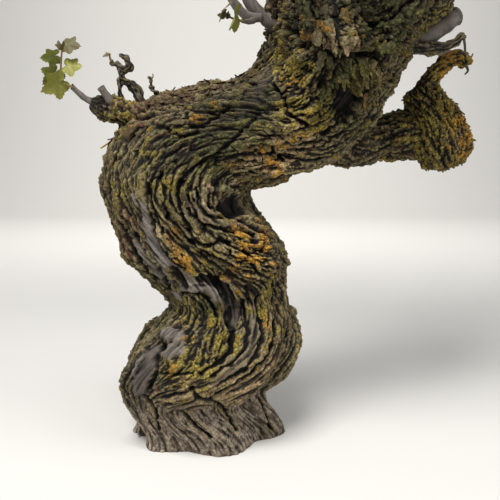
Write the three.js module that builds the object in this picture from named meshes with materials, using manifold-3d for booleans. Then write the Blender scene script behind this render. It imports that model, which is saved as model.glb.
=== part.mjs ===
// An old head-trained grapevine just after bud break, with no foliage yet but its young shoots. A short,
// fat, twisted trunk stands on a flat cut at ground level, leans back over its own elbow and ends in a
// broad head. Gnarled arms rise from the head, and each ends in pruned spurs that carry a young leafy
// shoot. Millimetres, +Z up, +X to the right and -Y to the front. The origin lies on the flat cut at
// ground level.

import * as THREE from "three";
import { mergeVertices } from "three/addons/utils/BufferGeometryUtils.js";
import Module from "manifold-3d";

const wasm = await Module();
wasm.setup();

const TAU = 2 * Math.PI;
const UP = new THREE.Vector3(0, 0, 1);

// The gap between a limb and what carries it.
const CLEARANCE = 0.35;

// Faces round each kind of limb, and rings along it.
const TRUNK_MESH = { around: 50, along: 54 };
const ARM_MESH = { around: 10, along: 16 };
const STUB_MESH = { around: 6, along: 7 };
const SPUR_MESH = { around: 6, along: 4 };
const STEM_MESH = { around: 4, along: 3 };
const PETIOLE_MESH = { around: 3, along: 1 };

// The trunk, from the ground to the top of its head. Each row is one cross-section: its middle x, y and z,
// how far the limb leans to the right there in degrees, its half width and its half depth.
const TRUNK = [
  [-8, 12, 0, 0, 101, 86],
  [-10, 9, 20, 0, 96, 85],
  [-27, 4, 57, -2, 91, 86],
  [-14, -2, 87, 0, 105, 95],
  [4, -2, 128, -1, 110, 100],
  [16, 6, 160, -1, 98, 90],
  [24, 12, 188, 0, 78, 76],
  [11, 10, 219, -1, 86, 78],
  [-8, 4, 258, 0, 105, 86],
  [-27, 0, 300, 5, 103, 88],
  [-41, -2, 338, 9, 99, 88],
  [-38, -2, 370, 20, 96, 86],
  [-15, 0, 399, 33, 91, 84],
  [32, 2, 417, 42, 84, 82],
  [98, 0, 436, 45, 76, 80],
  [139, -8, 475, 42, 80, 84],
  [160, -18, 521, 28, 85, 90],
  [169, -22, 567, 17, 91, 94],
  [184, -18, 616, 10, 112, 98],
  [186, -12, 660, 6, 102, 90],
  [183, -8, 696, 2, 76, 72],
  [181, -6, 714, 0, 44, 42],
  [180, -6, 721, 0, 16, 16],
];

// Ridges that run along the trunk: how many stand round it, how far they wind, their height as a share of
// its radius, and the angle that they start from.
const RIDGES = [
  { count: 3, wind: 1.6, height: 0.03, from: 0.4 },
  { count: 5, wind: -1.1, height: 0.035, from: 2.1 },
  { count: 8, wind: 1.3, height: 0.03, from: 1.2 },
];
const ROOTS = { count: 6, height: 0.09, fade: 34, from: 0.7 };

// Burls, ledges and hollows of the trunk: the middle of each, how far it reaches and how far it stands
// out.
const SWELLINGS = {
  burl: { at: [-30, -92, 128], reach: 52, out: 15 },
  hood: { at: [-12, -80, 208], reach: 20, out: 11 },
  saddle: { at: [12, -74, 236], reach: 20, out: -13 },
  groove_by_burl: { at: [26, -92, 150], reach: 17, out: -11 },
  bare_tongue: { at: [-92, -55, 102], reach: 24, out: 7 },
  right_boss: { at: [72, -42, 274], reach: 32, out: 10 },
  crotch: { at: [56, -22, 326], reach: 20, out: -13 },
  elbow_rib: { at: [-70, -78, 362], reach: 34, out: 8 },
  limb_plate: { at: [60, -86, 382], reach: 36, out: 8 },
  head_brow: { at: [128, -98, 520], reach: 46, out: 13 },
  brow_hollow: { at: [158, -84, 460], reach: 28, out: -12 },
  right_lobe: { at: [282, -42, 592], reach: 40, out: 16 },
  back_burl: { at: [34, 100, 112], reach: 46, out: 15 },
  back_hollow: { at: [0, 86, 204], reach: 24, out: -9 },
  back_boss: { at: [-52, 90, 308], reach: 40, out: 13 },
  back_limb: { at: [64, 84, 438], reach: 34, out: 11 },
  back_head: { at: [214, 84, 602], reach: 44, out: 14 },
};

// Ledges, bands and grooves that cross the trunk's front: a line along each, half its width and how far
// it stands out.
const FOLDS = {
  hood: {
    line: [[-36, -60, 212], [-17, -68, 227], [-3, -66, 222], [12, -62, 210], [21, -60, 197], [20, -64, 182]],
    half: 9,
    out: 11,
  },
  recess: { line: [[-14, -68, 240], [8, -60, 236], [27, -59, 220], [34, -60, 200]], half: 12, out: -9 },
  groove: {
    line: [
      [34, -58, 204], [31, -69, 180], [35, -75, 160], [28, -88, 140], [14, -100, 129], [-17, -111, 121],
    ],
    half: 8,
    out: -11,
  },
  outer_band: {
    line: [[58, -56, 190], [60, -72, 162], [54, -84, 136], [36, -98, 114], [4, -108, 100]],
    half: 10,
    out: 6,
  },
  low_band: {
    line: [[88, -38, 150], [86, -54, 124], [70, -74, 100], [44, -88, 82], [8, -92, 70]],
    half: 10,
    out: 5,
  },
  low_cleft: { line: [[60, -72, 88], [30, -88, 72], [-10, -94, 66], [-50, -86, 62]], half: 8, out: -7 },
  knob_of_bare_wood: { line: [[-50, -72, 162], [-44, -90, 144]], half: 13, out: 9 },
  tongue: { line: [[-66, -72, 152], [-73, -84, 136], [-84, -88, 112], [-88, -84, 98]], half: 12, out: 5 },
  bare_strip: {
    line: [
      [-92, -84, 346], [-84, -82, 326], [-74, -79, 301], [-64, -78, 280], [-48, -77, 258], [-28, -64, 222],
    ],
    half: 9,
    out: 5,
  },
  strip_cleft: {
    line: [[-88, -66, 288], [-74, -66, 262], [-60, -64, 246], [-40, -64, 230]],
    half: 8,
    out: -10,
  },
  crotch: { line: [[26, -66, 330], [42, -56, 324], [54, -44, 314]], half: 14, out: -15 },
  crotch_fold: {
    line: [[-10, -84, 348], [10, -80, 330], [26, -76, 314], [52, -66, 302], [78, -44, 296]],
    half: 9,
    out: 7,
  },
  elbow_cleft: {
    line: [[-64, -84, 400], [-62, -90, 380], [-56, -90, 350], [-50, -86, 322]],
    half: 8,
    out: -7,
  },
  limb_cleft: {
    line: [[-40, -84, 376], [-4, -86, 388], [30, -84, 402], [64, -84, 424], [94, -88, 452]],
    half: 8,
    out: -8,
  },
  limb_top_cleft: {
    line: [[-60, -70, 414], [-26, -78, 420], [10, -78, 440], [40, -76, 462], [70, -74, 488]],
    half: 8,
    out: -8,
  },
};

// The way that faces the front, in degrees from +X.
const FRONT = 270;

// Ribs that wind round the trunk's sides and back, in stretches from the ground up: how far each winds in
// degrees, half its width, how far it stands out, how much is taken off between them, and the share of a
// stretch over which they rise and die away. Below a share of the trunk's length they are weaker towards
// the front.
const RIBS = {
  stretches: [[-0.04, 0.36], [0.27, 0.68], [0.6, 0.98]],
  around: 10,
  wind: [25, 75],
  half: [14, 19],
  out: [6, 12],
  between: 3.5,
  fade: 0.2,
  front: { reach: 50, less: 0.85, below: 0.8 },
  top: 0.06,
  seed: 31,
};

// The two low arms: middle line, radius at the start and at the tip, and the knuckles that old cuts have
// left.
const LOW_ARMS = {
  arm_left: {
    line: [[-50, -4, 416], [-90, -6, 434], [-122, -9, 446], [-153, -12, 460]],
    radius: [28, 6],
    knuckles: 2,
  },
  arm_droop: {
    line: [[136, 26, 436], [192, 56, 410], [244, 66, 412], [300, 60, 424]],
    radius: [32, 25],
    knuckles: 2,
  },
};

// The arms that rise from the head: where each leaves it, the way that it heads in degrees from +X, how
// far it tilts from upright at its start and its tip, its length, its radius at the start and its spurs.
const TOP_ARMS = {
  arm_1: { root: [136, -12, 658], heading: 200, tilt: [62, 16], length: 370, thick: 40, spurs: 3 },
  arm_2: { root: [160, 34, 652], heading: 116, tilt: [64, 20], length: 380, thick: 38, spurs: 2 },
  arm_3: { root: [186, 4, 666], heading: 215, tilt: [-10, 16], length: 410, thick: 42, spurs: 3 },
  arm_4: { root: [236, -4, 652], heading: 356, tilt: [62, 14], length: 370, thick: 42, spurs: 3 },
  arm_5: { root: [186, -46, 646], heading: 284, tilt: [60, 18], length: 360, thick: 36, spurs: 2 },
  arm_6: { root: [222, 42, 648], heading: 48, tilt: [64, 22], length: 380, thick: 38, spurs: 2 },
};

// What these arms share: their knuckles, and their radius at the tip as a share of that at the start.
const TOP_ARM = { knuckles: 4, tip: 0.42 };

// How an arm zigzags from one old cut to the next.
const ZIGZAG = { steps: 6, turn: [18, 58], lean: 15, stride: [0.75, 1.25] };

// The swollen end of the arm that droops behind the head.
const KNOB = {
  line: [[290, 54, 484], [305, 56, 450], [322, 56, 412], [338, 54, 374]],
  radius: [23, 27],
  belly: 15,
};

// Old spurs that show on the elbow, the head and the knob: middle line, and radius at the start and at
// the tip.
const OLD_SPURS = {
  left_cane: { line: [[-140, -12, 457], [-160, -14, 463], [-178, -16, 479]], radius: [5, 3.4] },
  left_cut_spur: { line: [[-110, -16, 436], [-124, -24, 456], [-138, -28, 477]], radius: [5.5, 4.6] },
  left_peg: { line: [[-112, 4, 444], [-118, 4, 470], [-119, 4, 490]], radius: [3.6, 3] },
  left_crooked_spur: {
    line: [
      [-84, 2, 434], [-92, 3, 462], [-101, 2, 481], [-113, 0, 489], [-115, -2, 499], [-104, -2, 505],
      [-107, -2, 514], [-116, -2, 523],
    ],
    radius: [6, 2.4],
  },
  left_crooked_fork: {
    line: [[-112, -2, 498], [-120, -2, 507], [-127, -2, 509], [-129, -2, 514]],
    radius: [3.4, 1.8],
  },
  left_dead_twig: { line: [[-64, 8, 458], [-70, 6, 470], [-77, 6, 481], [-79, 4, 494]], radius: [2.4, 1.3] },
  head_left_spur: {
    line: [[98, -30, 550], [80, -33, 558], [66, -36, 568], [52, -39, 582], [42, -42, 606]],
    radius: [10, 6.5],
  },
  head_left_fork: { line: [[68, -37, 564], [52, -40, 563], [38, -42, 574], [24, -44, 594]], radius: [7, 5] },
  head_left_bud: { line: [[62, -39, 562], [54, -46, 556], [45, -52, 556]], radius: [4.5, 2.6] },
  head_right_spur: {
    line: [[258, -24, 534], [286, -22, 544], [306, -20, 558], [318, -18, 567]],
    radius: [11, 10.5],
  },
  head_right_twig: {
    line: [[246, -34, 530], [275, -34, 526], [298, -32, 525], [314, -30, 531], [328, -28, 541]],
    radius: [9, 2.8],
  },
  knob_spur: {
    line: [[292, 54, 468], [300, 53, 485], [314, 50, 508], [330, 48, 521], [345, 46, 523], [353, 45, 514]],
    radius: [13, 7.5],
  },
};

// The rule for the pruned spurs that the arms carry, and for the young shoots that those carry.
const SPUR = { length: [52, 84], radius: [6.2, 4.6], spread: 0.75, low: 0.74 };
const SHOOT = {
  length: [40, 76],
  radius: [1.9, 1.1],
  leaves: [3, 4],
  span: [0.35, 0.93],
  blade: [17, 27],
  petiole: 0.6,
  petiole_radius: [0.8, 0.7],
  droop: [0.6, 1.3],
  roll: [-0.4, 0.4],
  sunk: 2,
};

// The young shoots that show: where each springs from, the way that it grows, and its size.
const SHOWN_SHOOTS = {
  shoot_left: {
    on: "left_cane",
    aim: [0.06, 0, 1],
    length: 58,
    leaves: 6,
    span: [0.12, 0.93],
    roll: [0.8, 1.2],
    blade: 26,
    seed: 380,
  },
  shoot_crooked: { on: "left_crooked_fork", aim: [-0.2, 0, 1], length: 8, leaves: 1, blade: 7, seed: 42 },
  shoot_head: {
    on: "head_left_bud",
    aim: [-1, -0.15, 0.35],
    length: 24,
    leaves: 3,
    roll: [0.8, 1.2],
    blade: 25,
    seed: 142,
  },
};

// Half of a young leaf's outline: the angle from its tip in degrees, and how far it reaches there.
const LEAF = [
  [0, 1],
  [34, 0.58],
  [66, 0.86],
  [140, 0.55],
];
const LEAF_THICK = 0.05;

// What the sub-parts are made of.
const MATERIALS = {
  bark: new THREE.MeshStandardMaterial({ color: 0x57493a, roughness: 0.95, metalness: 0 }),
  lichen_bark: new THREE.MeshStandardMaterial({ color: 0x8a6a2c, roughness: 0.95, metalness: 0 }),
  cane: new THREE.MeshStandardMaterial({ color: 0x8c7a70, roughness: 0.8, metalness: 0 }),
  dead_wood: new THREE.MeshStandardMaterial({ color: 0x3c342e, roughness: 0.9, metalness: 0 }),
  leaf: new THREE.MeshStandardMaterial({ color: 0x9aa23a, roughness: 0.55, metalness: 0 }),
};

// Numbers from 0 to 1 that are the same each time for the same seed.
function seeded(seed) {
  let state = seed >>> 0;
  return () => {
    state = (state + 0x6d2b79f5) >>> 0;
    let n = Math.imul(state ^ (state >>> 15), state | 1);
    n ^= n + Math.imul(n ^ (n >>> 7), n | 61);
    return ((n ^ (n >>> 14)) >>> 0) / 4294967296;
  };
}

const mix = (a, b, share) => a + (b - a) * share;

// Rows of numbers read as smooth curves, at t from 0 at the first row to 1 at the last.
function along(rows, t) {
  const s = t * (rows.length - 1);
  const i = Math.min(Math.floor(s), rows.length - 2);
  const u = s - i;
  const row = (k) => rows[Math.min(Math.max(k, 0), rows.length - 1)];
  const [a, b, c, d] = [row(i - 1), row(i), row(i + 1), row(i + 2)];
  return b.map((_, n) => {
    const slope = [(c[n] - a[n]) / 2, (d[n] - b[n]) / 2];
    const bend = 3 * (c[n] - b[n]) - 2 * slope[0] - slope[1];
    const twist = 2 * (b[n] - c[n]) + slope[0] + slope[1];
    return b[n] + u * (slope[0] + u * (bend + u * twist));
  });
}

// The solid of a closed geometry.
function solidOf(geometry) {
  geometry.deleteAttribute("normal");
  geometry.deleteAttribute("uv");
  const merged = mergeVertices(geometry, 1e-3);
  return new wasm.Manifold(
    new wasm.Mesh({
      numProp: 3,
      vertProperties: new Float32Array(merged.attributes.position.array),
      triVerts: new Uint32Array(merged.index.array),
    }),
  );
}

// The largest piece of a solid, without the scraps that a cut leaves.
function largest(solid) {
  return solid.decompose().sort((a, b) => b.volume() - a.volume())[0];
}

// A cylinder bent round its rings. Each ring has its middle, its two directions across and its half
// sizes, and push gives how far the wall stands out at an angle.
function sweep(rings, around, push) {
  const last = rings.length - 1;
  const geometry = new THREE.CylinderGeometry(1, 1, 1, around, last);
  const place = geometry.attributes.position;
  const point = new THREE.Vector3();
  for (let i = 0; i < place.count; i++) {
    const [x, y, z] = [place.getX(i), place.getY(i), place.getZ(i)];
    const k = Math.round((y + 0.5) * last);
    const ring = rings[k];
    const angle = Math.atan2(-z, x);
    point.copy(ring.middle);
    if (Math.hypot(x, z) > 0.5) {
      point.addScaledVector(ring.side, ring.wide * Math.cos(angle));
      point.addScaledVector(ring.back, ring.deep * Math.sin(angle));
      const out = push(point, angle, k / last, ring);
      point.addScaledVector(ring.side, out * Math.cos(angle));
      point.addScaledVector(ring.back, out * Math.sin(angle));
    }
    place.setXYZ(i, point.x, point.y, point.z);
  }
  return solidOf(geometry);
}

// The trunk's cross-sections as rings, which stay square to its lean.
function trunkRings() {
  const rings = [];
  for (let k = 0; k <= TRUNK_MESH.along; k++) {
    const [x, y, z, lean, wide, deep] = along(TRUNK, k / TRUNK_MESH.along);
    const turn = THREE.MathUtils.degToRad(lean);
    const side = new THREE.Vector3(Math.cos(turn), 0, -Math.sin(turn));
    rings.push({ middle: new THREE.Vector3(x, y, z), side, back: new THREE.Vector3(0, 1, 0), wide, deep });
  }
  rings[0].middle.z = 0;
  return rings;
}

// The ribs of every stretch, each with the angles that it winds between.
function windingRibs() {
  const chance = seeded(RIBS.seed);
  return RIBS.stretches.flatMap(([low, high], n) =>
    Array.from({ length: RIBS.around }, (_, k) => {
      const from = ((k + 0.5 * n + 0.4 * (chance() - 0.5)) * 360) / RIBS.around;
      const to = from + mix(...RIBS.wind, chance());
      return { low, high, from, to, half: mix(...RIBS.half, chance()), out: mix(...RIBS.out, chance()) };
    }),
  );
}
const ribs = windingRibs();

// Degrees from one angle to another, the short way round.
const degreesApart = (a, b) => ((((a - b) % 360) + 540) % 360) - 180;

function smoothstep(low, high, value) {
  return THREE.MathUtils.smoothstep(value, low, high);
}

// How far the ribs stand out at an angle round the trunk.
function ribRelief(angle, t, radius) {
  const here = THREE.MathUtils.radToDeg(angle);
  let out = -RIBS.between;
  for (const { low, high, from, to, half, out: height } of ribs) {
    const u = (t - low) / (high - low);
    if (u <= 0 || u >= 1) continue;
    const away = (THREE.MathUtils.degToRad(degreesApart(here, mix(from, to, u))) * radius) / half;
    out += height * smoothstep(0, RIBS.fade, u) * smoothstep(0, RIBS.fade, 1 - u) * Math.exp(-away * away);
  }
  const { reach, less, below } = RIBS.front;
  const fromFront = degreesApart(here, FRONT) / reach;
  const shown = 1 - less * Math.exp(-fromFront * fromFront) * smoothstep(0, 0.1, below - t);
  return out * shown * smoothstep(0, RIBS.top, 1 - t);
}

// How far a point lies from a line of points.
function awayFrom(line, point) {
  let nearest = Infinity;
  const closest = new THREE.Vector3();
  for (let k = 1; k < line.length; k++) {
    const step = new THREE.Line3(new THREE.Vector3(...line[k - 1]), new THREE.Vector3(...line[k]));
    nearest = Math.min(nearest, step.closestPointToPoint(point, true, closest).distanceTo(point));
  }
  return nearest;
}

// How far the trunk's wall stands out: its ridges, its root flare, its swellings, its folds and its ribs.
function trunkRelief(point, angle, t, ring) {
  const radius = (ring.wide + ring.deep) / 2;
  let out = 0;
  for (const { count, wind, height, from } of RIDGES)
    out += radius * height * Math.sin(count * angle + wind * TAU * t + from);
  const roots = Math.cos(ROOTS.count * angle + ROOTS.from);
  out += radius * ROOTS.height * Math.exp(-point.z / ROOTS.fade) * roots;
  for (const { at, reach, out: height } of Object.values(SWELLINGS)) {
    const away = Math.hypot(point.x - at[0], point.y - at[1], point.z - at[2]) / reach;
    out += height * Math.exp(-away * away);
  }
  for (const { line, half, out: height } of Object.values(FOLDS)) {
    const away = awayFrom(line, point) / half;
    out += height * Math.exp(-away * away);
  }
  return out + ribRelief(angle, t, radius);
}

const pointOn = (line, t) => new THREE.Vector3(...along(line, t));

// A point inside a stalk, which runs straight from ring to ring.
function insideStalk(line, rings, t) {
  const k = Math.min(Math.floor(t * rings), rings - 1);
  return pointOn(line, k / rings).lerp(pointOn(line, (k + 1) / rings), t * rings - k);
}

// Rings square to a line, each turned as little as can be from the one before.
function lineRings(line, count, radius) {
  const middles = [];
  for (let k = 0; k <= count; k++) middles.push(pointOn(line, k / count));
  let side = new THREE.Vector3(1, 0.2, 0);
  return middles.map((middle, k) => {
    const ahead = middles[Math.min(k + 1, count)];
    const behind = middles[Math.max(k - 1, 0)];
    const way = ahead.clone().sub(behind).normalize();
    side = side.clone().addScaledVector(way, -side.dot(way)).normalize();
    const size = radius(k / count);
    return { middle, side, back: way.clone().cross(side), wide: size, deep: size, way };
  });
}

// Moves the end rings apart, so that a grown limb also clears what meets its ends.
function lengthened(rings, by) {
  const [first, last] = [rings[0], rings[rings.length - 1]];
  first.middle.addScaledVector(first.way, -by);
  last.middle.addScaledVector(last.way, by);
  return rings;
}

// The middle line of an arm that rises from the head: it turns to one side and the other as it goes.
function zigzag({ root, heading, tilt, length }, seed) {
  const chance = seeded(seed);
  const at = new THREE.Vector3(...root);
  const line = [root];
  for (let n = 0; n < ZIGZAG.steps; n++) {
    const turn = heading + (n % 2 ? 1 : -1) * mix(...ZIGZAG.turn, chance());
    const lean = mix(...tilt, n / (ZIGZAG.steps - 1)) + ZIGZAG.lean * (2 * chance() - 1);
    const stride = (length / ZIGZAG.steps) * mix(...ZIGZAG.stride, chance());
    const [across, round] = [lean, turn].map(THREE.MathUtils.degToRad);
    at.x += stride * Math.sin(across) * Math.cos(round);
    at.y += stride * Math.sin(across) * Math.sin(round);
    at.z += stride * Math.cos(across);
    line.push(at.toArray());
  }
  return line;
}

const topArms = Object.entries(TOP_ARMS).map(([name, arm], n) => {
  const radius = [arm.thick, arm.thick * TOP_ARM.tip];
  return [name, { ...arm, radius, knuckles: TOP_ARM.knuckles, line: zigzag(arm, 51 + n) }];
});
const arms = { ...LOW_ARMS, ...Object.fromEntries(topArms) };

// An arm's radius: its taper, the knuckles of old cuts and a blunt tip.
function armRadius(arm, seed) {
  const chance = seeded(seed);
  const knuckles = Array.from({ length: arm.knuckles }, (_, n) => ({
    t: (n + 0.55 + 0.4 * chance()) / arm.knuckles,
    swell: 0.16 + 0.2 * chance(),
    half: 0.35 / arm.knuckles,
  }));
  return (t) => {
    let radius = mix(arm.radius[0], arm.radius[1], Math.pow(t, 0.8));
    for (const { t: at, swell, half } of knuckles) radius *= 1 + swell * Math.exp(-(((t - at) / half) ** 2));
    return t > 0.98 ? radius * 0.6 : radius;
  };
}

// The lumps of an old limb's wall.
function lumps({ x, y, z }, size) {
  const long = Math.sin(x / 11 + z / 17) * Math.sin(y / 13 + 1);
  const short = Math.sin(z / 12 + y / 9) * Math.sin(x / 15 + 2);
  return size * (long + short);
}

// Each limb as a function of how far it is grown, so that a neighbour can be cut clear of it.
const limbs = {
  trunk: (grow) => sweep(trunkRings(), TRUNK_MESH.around, (...at) => grow + trunkRelief(...at)),
};

Object.entries(arms).forEach(([name, arm], n) => {
  const radius = armRadius(arm, 100 + n);
  limbs[name] = (grow) => {
    const rings = lengthened(lineRings(arm.line, ARM_MESH.along, radius), grow);
    return sweep(rings, ARM_MESH.around, (point, angle, t, ring) => grow + lumps(point, 0.09 * ring.wide));
  };
});

limbs.knob = (grow) => {
  const radius = (t) => mix(...KNOB.radius, t) + KNOB.belly * Math.sin(Math.PI * Math.pow(t, 1.4));
  const rounded = (t) => radius(t) * (t < 0.02 || t > 0.98 ? 0.62 : 1);
  const rings = lengthened(lineRings(KNOB.line, STUB_MESH.along, rounded), grow);
  return sweep(rings, ARM_MESH.around, (point) => grow + lumps(point, 2));
};

for (const [name, spur] of Object.entries(OLD_SPURS)) {
  const radius = (t) => mix(spur.radius[0], spur.radius[1], t);
  limbs[name] = (grow) => {
    const rings = lengthened(lineRings(spur.line, STUB_MESH.along, radius), grow);
    return sweep(rings, SPUR_MESH.around, (point, angle, t, ring) => grow + lumps(point, 0.08 * ring.wide));
  };
}

// The pruned spurs of an arm: one goes on from its tip, and the others leave it lower down.
function prunedSpurs(name, arm, seed) {
  const chance = seeded(seed);
  return Array.from({ length: arm.spurs }, (_, n) => {
    const t = n === 0 ? 0.99 : mix(SPUR.low, 0.95, (n - 1) / 2 + 0.3 * chance());
    const root = pointOn(arm.line, t);
    const turn = TAU * ((n + 0.25 * chance()) / arm.spurs + seed / 7);
    const spread = n === 0 ? 0.25 : SPUR.spread;
    const way = new THREE.Vector3(Math.cos(turn) * spread, Math.sin(turn) * spread, 1).normalize();
    const length = mix(...SPUR.length, chance()) + (n === 0 ? 0 : mix(arm.radius[0], arm.radius[1], t));
    const bent = root.clone().addScaledVector(way, length / 2);
    const tip = root.clone().addScaledVector(way, length).addScaledVector(UP, length * 0.12);
    return { name: `${name}_spur_${n + 1}`, line: [root.toArray(), bent.toArray(), tip.toArray()] };
  });
}

const spurs = topArms.flatMap(([name, arm], n) => prunedSpurs(name, arm, 200 + n));
for (const { name, line } of spurs) {
  const radius = (t) => mix(...SPUR.radius, t) * (1 + 0.22 * Math.cos(TAU * 2 * t) ** 4);
  limbs[name] = (grow) => {
    const rings = lengthened(lineRings(line, SPUR_MESH.along, radius), grow);
    return sweep(rings, SPUR_MESH.around, () => grow);
  };
}

// A leaf blade of the given reach, lying in its own XY plane with its tip along +Y.
function blade(reach) {
  const outline = [...LEAF, ...LEAF.slice(1).reverse().map(([angle, far]) => [-angle, far])];
  const geometry = new THREE.ConeGeometry(1, 1, outline.length);
  const place = geometry.attributes.position;
  for (let i = 0; i < place.count; i++) {
    const [x, y, z] = [place.getX(i), place.getY(i), place.getZ(i)];
    const height = (y - 0.5) * LEAF_THICK * reach;
    if (Math.hypot(x, z) < 0.5) {
      place.setXYZ(i, 0, 0.2 * reach, height);
      continue;
    }
    const corner = Math.round((Math.atan2(x, z) / TAU + 1) * outline.length) % outline.length;
    const [angle, far] = outline[corner];
    const turn = THREE.MathUtils.degToRad(angle);
    place.setXYZ(i, -Math.sin(turn) * far * reach, Math.cos(turn) * far * reach, height);
  }
  return solidOf(geometry);
}

// A thin stalk along a line.
function stalk(line, mesh, radii) {
  return sweep(lineRings(line, mesh.along, (t) => mix(radii[0], radii[1], t)), mesh.around, () => 0);
}

// One leaf on its petiole, which leaves a stem at a point and ends just past the blade.
function leafOn(node, out, reach, droop, roll) {
  const base = node.clone().addScaledVector(out, reach * SHOOT.petiole);
  const end = base.clone().addScaledVector(out, LEAF_THICK * reach + 0.6);
  const petiole = stalk([node.toArray(), end.toArray()], PETIOLE_MESH, SHOOT.petiole_radius);
  const across = UP.clone().cross(out).normalize();
  const tip = out.clone().applyAxisAngle(across, droop);
  across.applyAxisAngle(tip, roll);
  const stand = new THREE.Matrix4().makeBasis(across, tip, across.clone().cross(tip)).setPosition(base);
  return petiole.add(blade(reach).transform(stand.elements));
}

// A young shoot: a stem that leaves a spur's cut end and bends upwards, with leaves on alternate sides
// that are smaller towards its tip. A leaf that would touch a limb or another shoot is left out.
function shoot(rule, neighbours) {
  const { on, line, aim, length, leaves, blade: size, seed, span, roll } = { ...SHOOT, ...rule };
  const chance = seeded(seed);
  const [before, cutEnd] = line.slice(-2).map((point) => new THREE.Vector3(...point));
  const start = cutEnd.clone().sub(before).normalize();
  const root = cutEnd.clone().addScaledVector(start, -SHOOT.sunk);
  const bent = root.clone().addScaledVector(start, SHOOT.sunk + length * 0.3);
  const tip = bent.clone().addScaledVector(new THREE.Vector3(...aim).normalize(), length * 0.7);
  const stem = [root.toArray(), bent.toArray(), tip.toArray()];
  let solid = largest(stalk(stem, STEM_MESH, SHOOT.radius).subtract(limbs[on](CLEARANCE)));
  const first = TAU * chance();
  for (let n = 0; n < leaves; n++) {
    const t = mix(...span, leaves > 1 ? n / (leaves - 1) : 1);
    const turn = first + Math.PI * n + 0.8 * (chance() - 0.5);
    const out = new THREE.Vector3(Math.cos(turn), Math.sin(turn), mix(0.3, 1, n / leaves)).normalize();
    const reach = size * mix(1, 0.6, n / leaves) * mix(0.85, 1.1, chance());
    const droop = mix(...SHOOT.droop, chance());
    const node = insideStalk(stem, STEM_MESH.along, t);
    const leaf = leafOn(node, out, reach, droop, mix(...roll, chance()));
    if (neighbours.every((other) => other.intersect(leaf).volume() < 1e-6)) solid = solid.add(leaf);
  }
  return solid;
}

const youngShoots = {};
for (const [name, rule] of Object.entries(SHOWN_SHOOTS)) {
  youngShoots[name] = { ...rule, line: OLD_SPURS[rule.on].line };
}
spurs.forEach(({ name, line }, n) => {
  const chance = seeded(300 + n);
  const turn = TAU * chance();
  youngShoots[`${name}_shoot`] = {
    on: name,
    line,
    aim: [0.5 * Math.cos(turn), 0.5 * Math.sin(turn), 1],
    length: mix(...SHOOT.length, chance()),
    leaves: Math.round(mix(...SHOOT.leaves, chance())),
    blade: mix(...SHOOT.blade, chance()),
    seed: 400 + n,
  };
});

// The whole plant: every limb is cut clear of what carries it and of its neighbours, in the order of
// growth.
const vine = new THREE.Group();
const grown = [];

function addPart(name, solid, material) {
  const { vertProperties, triVerts } = solid.getMesh();
  const geometry = new THREE.BufferGeometry();
  geometry.setAttribute("position", new THREE.BufferAttribute(new Float32Array(vertProperties), 3));
  geometry.setIndex(new THREE.BufferAttribute(new Uint32Array(triVerts), 1));
  geometry.computeVertexNormals();
  const mesh = new THREE.Mesh(geometry, material);
  mesh.name = name;
  vine.add(mesh);
}

function materialOf(name) {
  if (name === "knob" || name === "knob_spur") return MATERIALS.lichen_bark;
  if (/twig|peg|crooked/.test(name)) return MATERIALS.dead_wood;
  return /spur|cane|fork/.test(name) ? MATERIALS.cane : MATERIALS.bark;
}

for (const [name, make] of Object.entries(limbs)) {
  const clear = grown.reduce((solid, neighbour) => solid.subtract(neighbour), make(0));
  addPart(name, largest(clear), materialOf(name));
  grown.push(make(CLEARANCE));
}

for (const [name, rule] of Object.entries(youngShoots)) {
  const solid = shoot(rule, grown);
  addPart(name, solid, MATERIALS.leaf);
  grown.push(solid);
}

export default vine;
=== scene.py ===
# An old head-trained grapevine just after bud break: shaggy twisted bark, lichen, pruned spurs and young
# leaves. Tables are in millimetres in the frame of the plant, and meshes are made in metres.

import math
from functools import lru_cache
from itertools import product

import bpy
import numpy as np
from bpy.props import FloatProperty, FloatVectorProperty, PointerProperty
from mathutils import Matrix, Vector
from mathutils.bvhtree import BVHTree


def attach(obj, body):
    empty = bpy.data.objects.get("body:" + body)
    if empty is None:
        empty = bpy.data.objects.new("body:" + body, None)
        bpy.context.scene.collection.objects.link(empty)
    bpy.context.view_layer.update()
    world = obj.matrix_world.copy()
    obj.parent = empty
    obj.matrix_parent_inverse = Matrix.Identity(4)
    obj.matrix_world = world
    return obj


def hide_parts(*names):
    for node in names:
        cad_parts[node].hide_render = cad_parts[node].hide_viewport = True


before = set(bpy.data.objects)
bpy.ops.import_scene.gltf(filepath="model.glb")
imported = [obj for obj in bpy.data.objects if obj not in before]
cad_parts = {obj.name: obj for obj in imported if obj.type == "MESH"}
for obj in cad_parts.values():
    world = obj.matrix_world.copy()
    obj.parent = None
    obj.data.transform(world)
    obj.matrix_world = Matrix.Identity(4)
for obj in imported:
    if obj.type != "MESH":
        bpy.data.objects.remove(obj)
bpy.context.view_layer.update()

bl_info = {
    "name": "Old grapevine",
    "version": (1, 0, 0),
    "blender": (4, 5, 0),
    "location": "View3D > Sidebar > Grapevine",
    "description": "Bark, lichen, pruned spurs and young shoots of an old head-trained grapevine",
    "category": "Object",
}

MM = 0.001
TAU = 2 * math.pi
UP = np.array([0.0, 0.0, 1.0])
BODY = "root"

# The camera that took the photo, solved from the horizon and the foot of the trunk: its place, how far it
# looks down in degrees, its focal length and film width, and the photo's width and height in pixels.
CAMERA = {"at": (53.8, -1000, 403.7), "tilt": 8.0759, "lens": 53.28, "film": 36, "pixels": 500,
          "clip": (0.01, 60)}
# In metres: the soft lights, each with its place, the point that it lights and its size, and the backdrop.
LIGHTS = {
    "key": ((-0.55, -1.3, 2.5), (0.08, 0, 0.4), 1.3),
    "fill": ((1.7, -0.9, 1.3), (0.08, 0, 0.4), 1.6),
    "wall": ((0, 1.9, 2.4), (0, 5.0, 1.0), 2.4),
}
BACKDROP = {"half_width": 9, "front": -4, "back": 3.2, "curve": 2.0, "wall": 5, "steps": 16}
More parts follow.
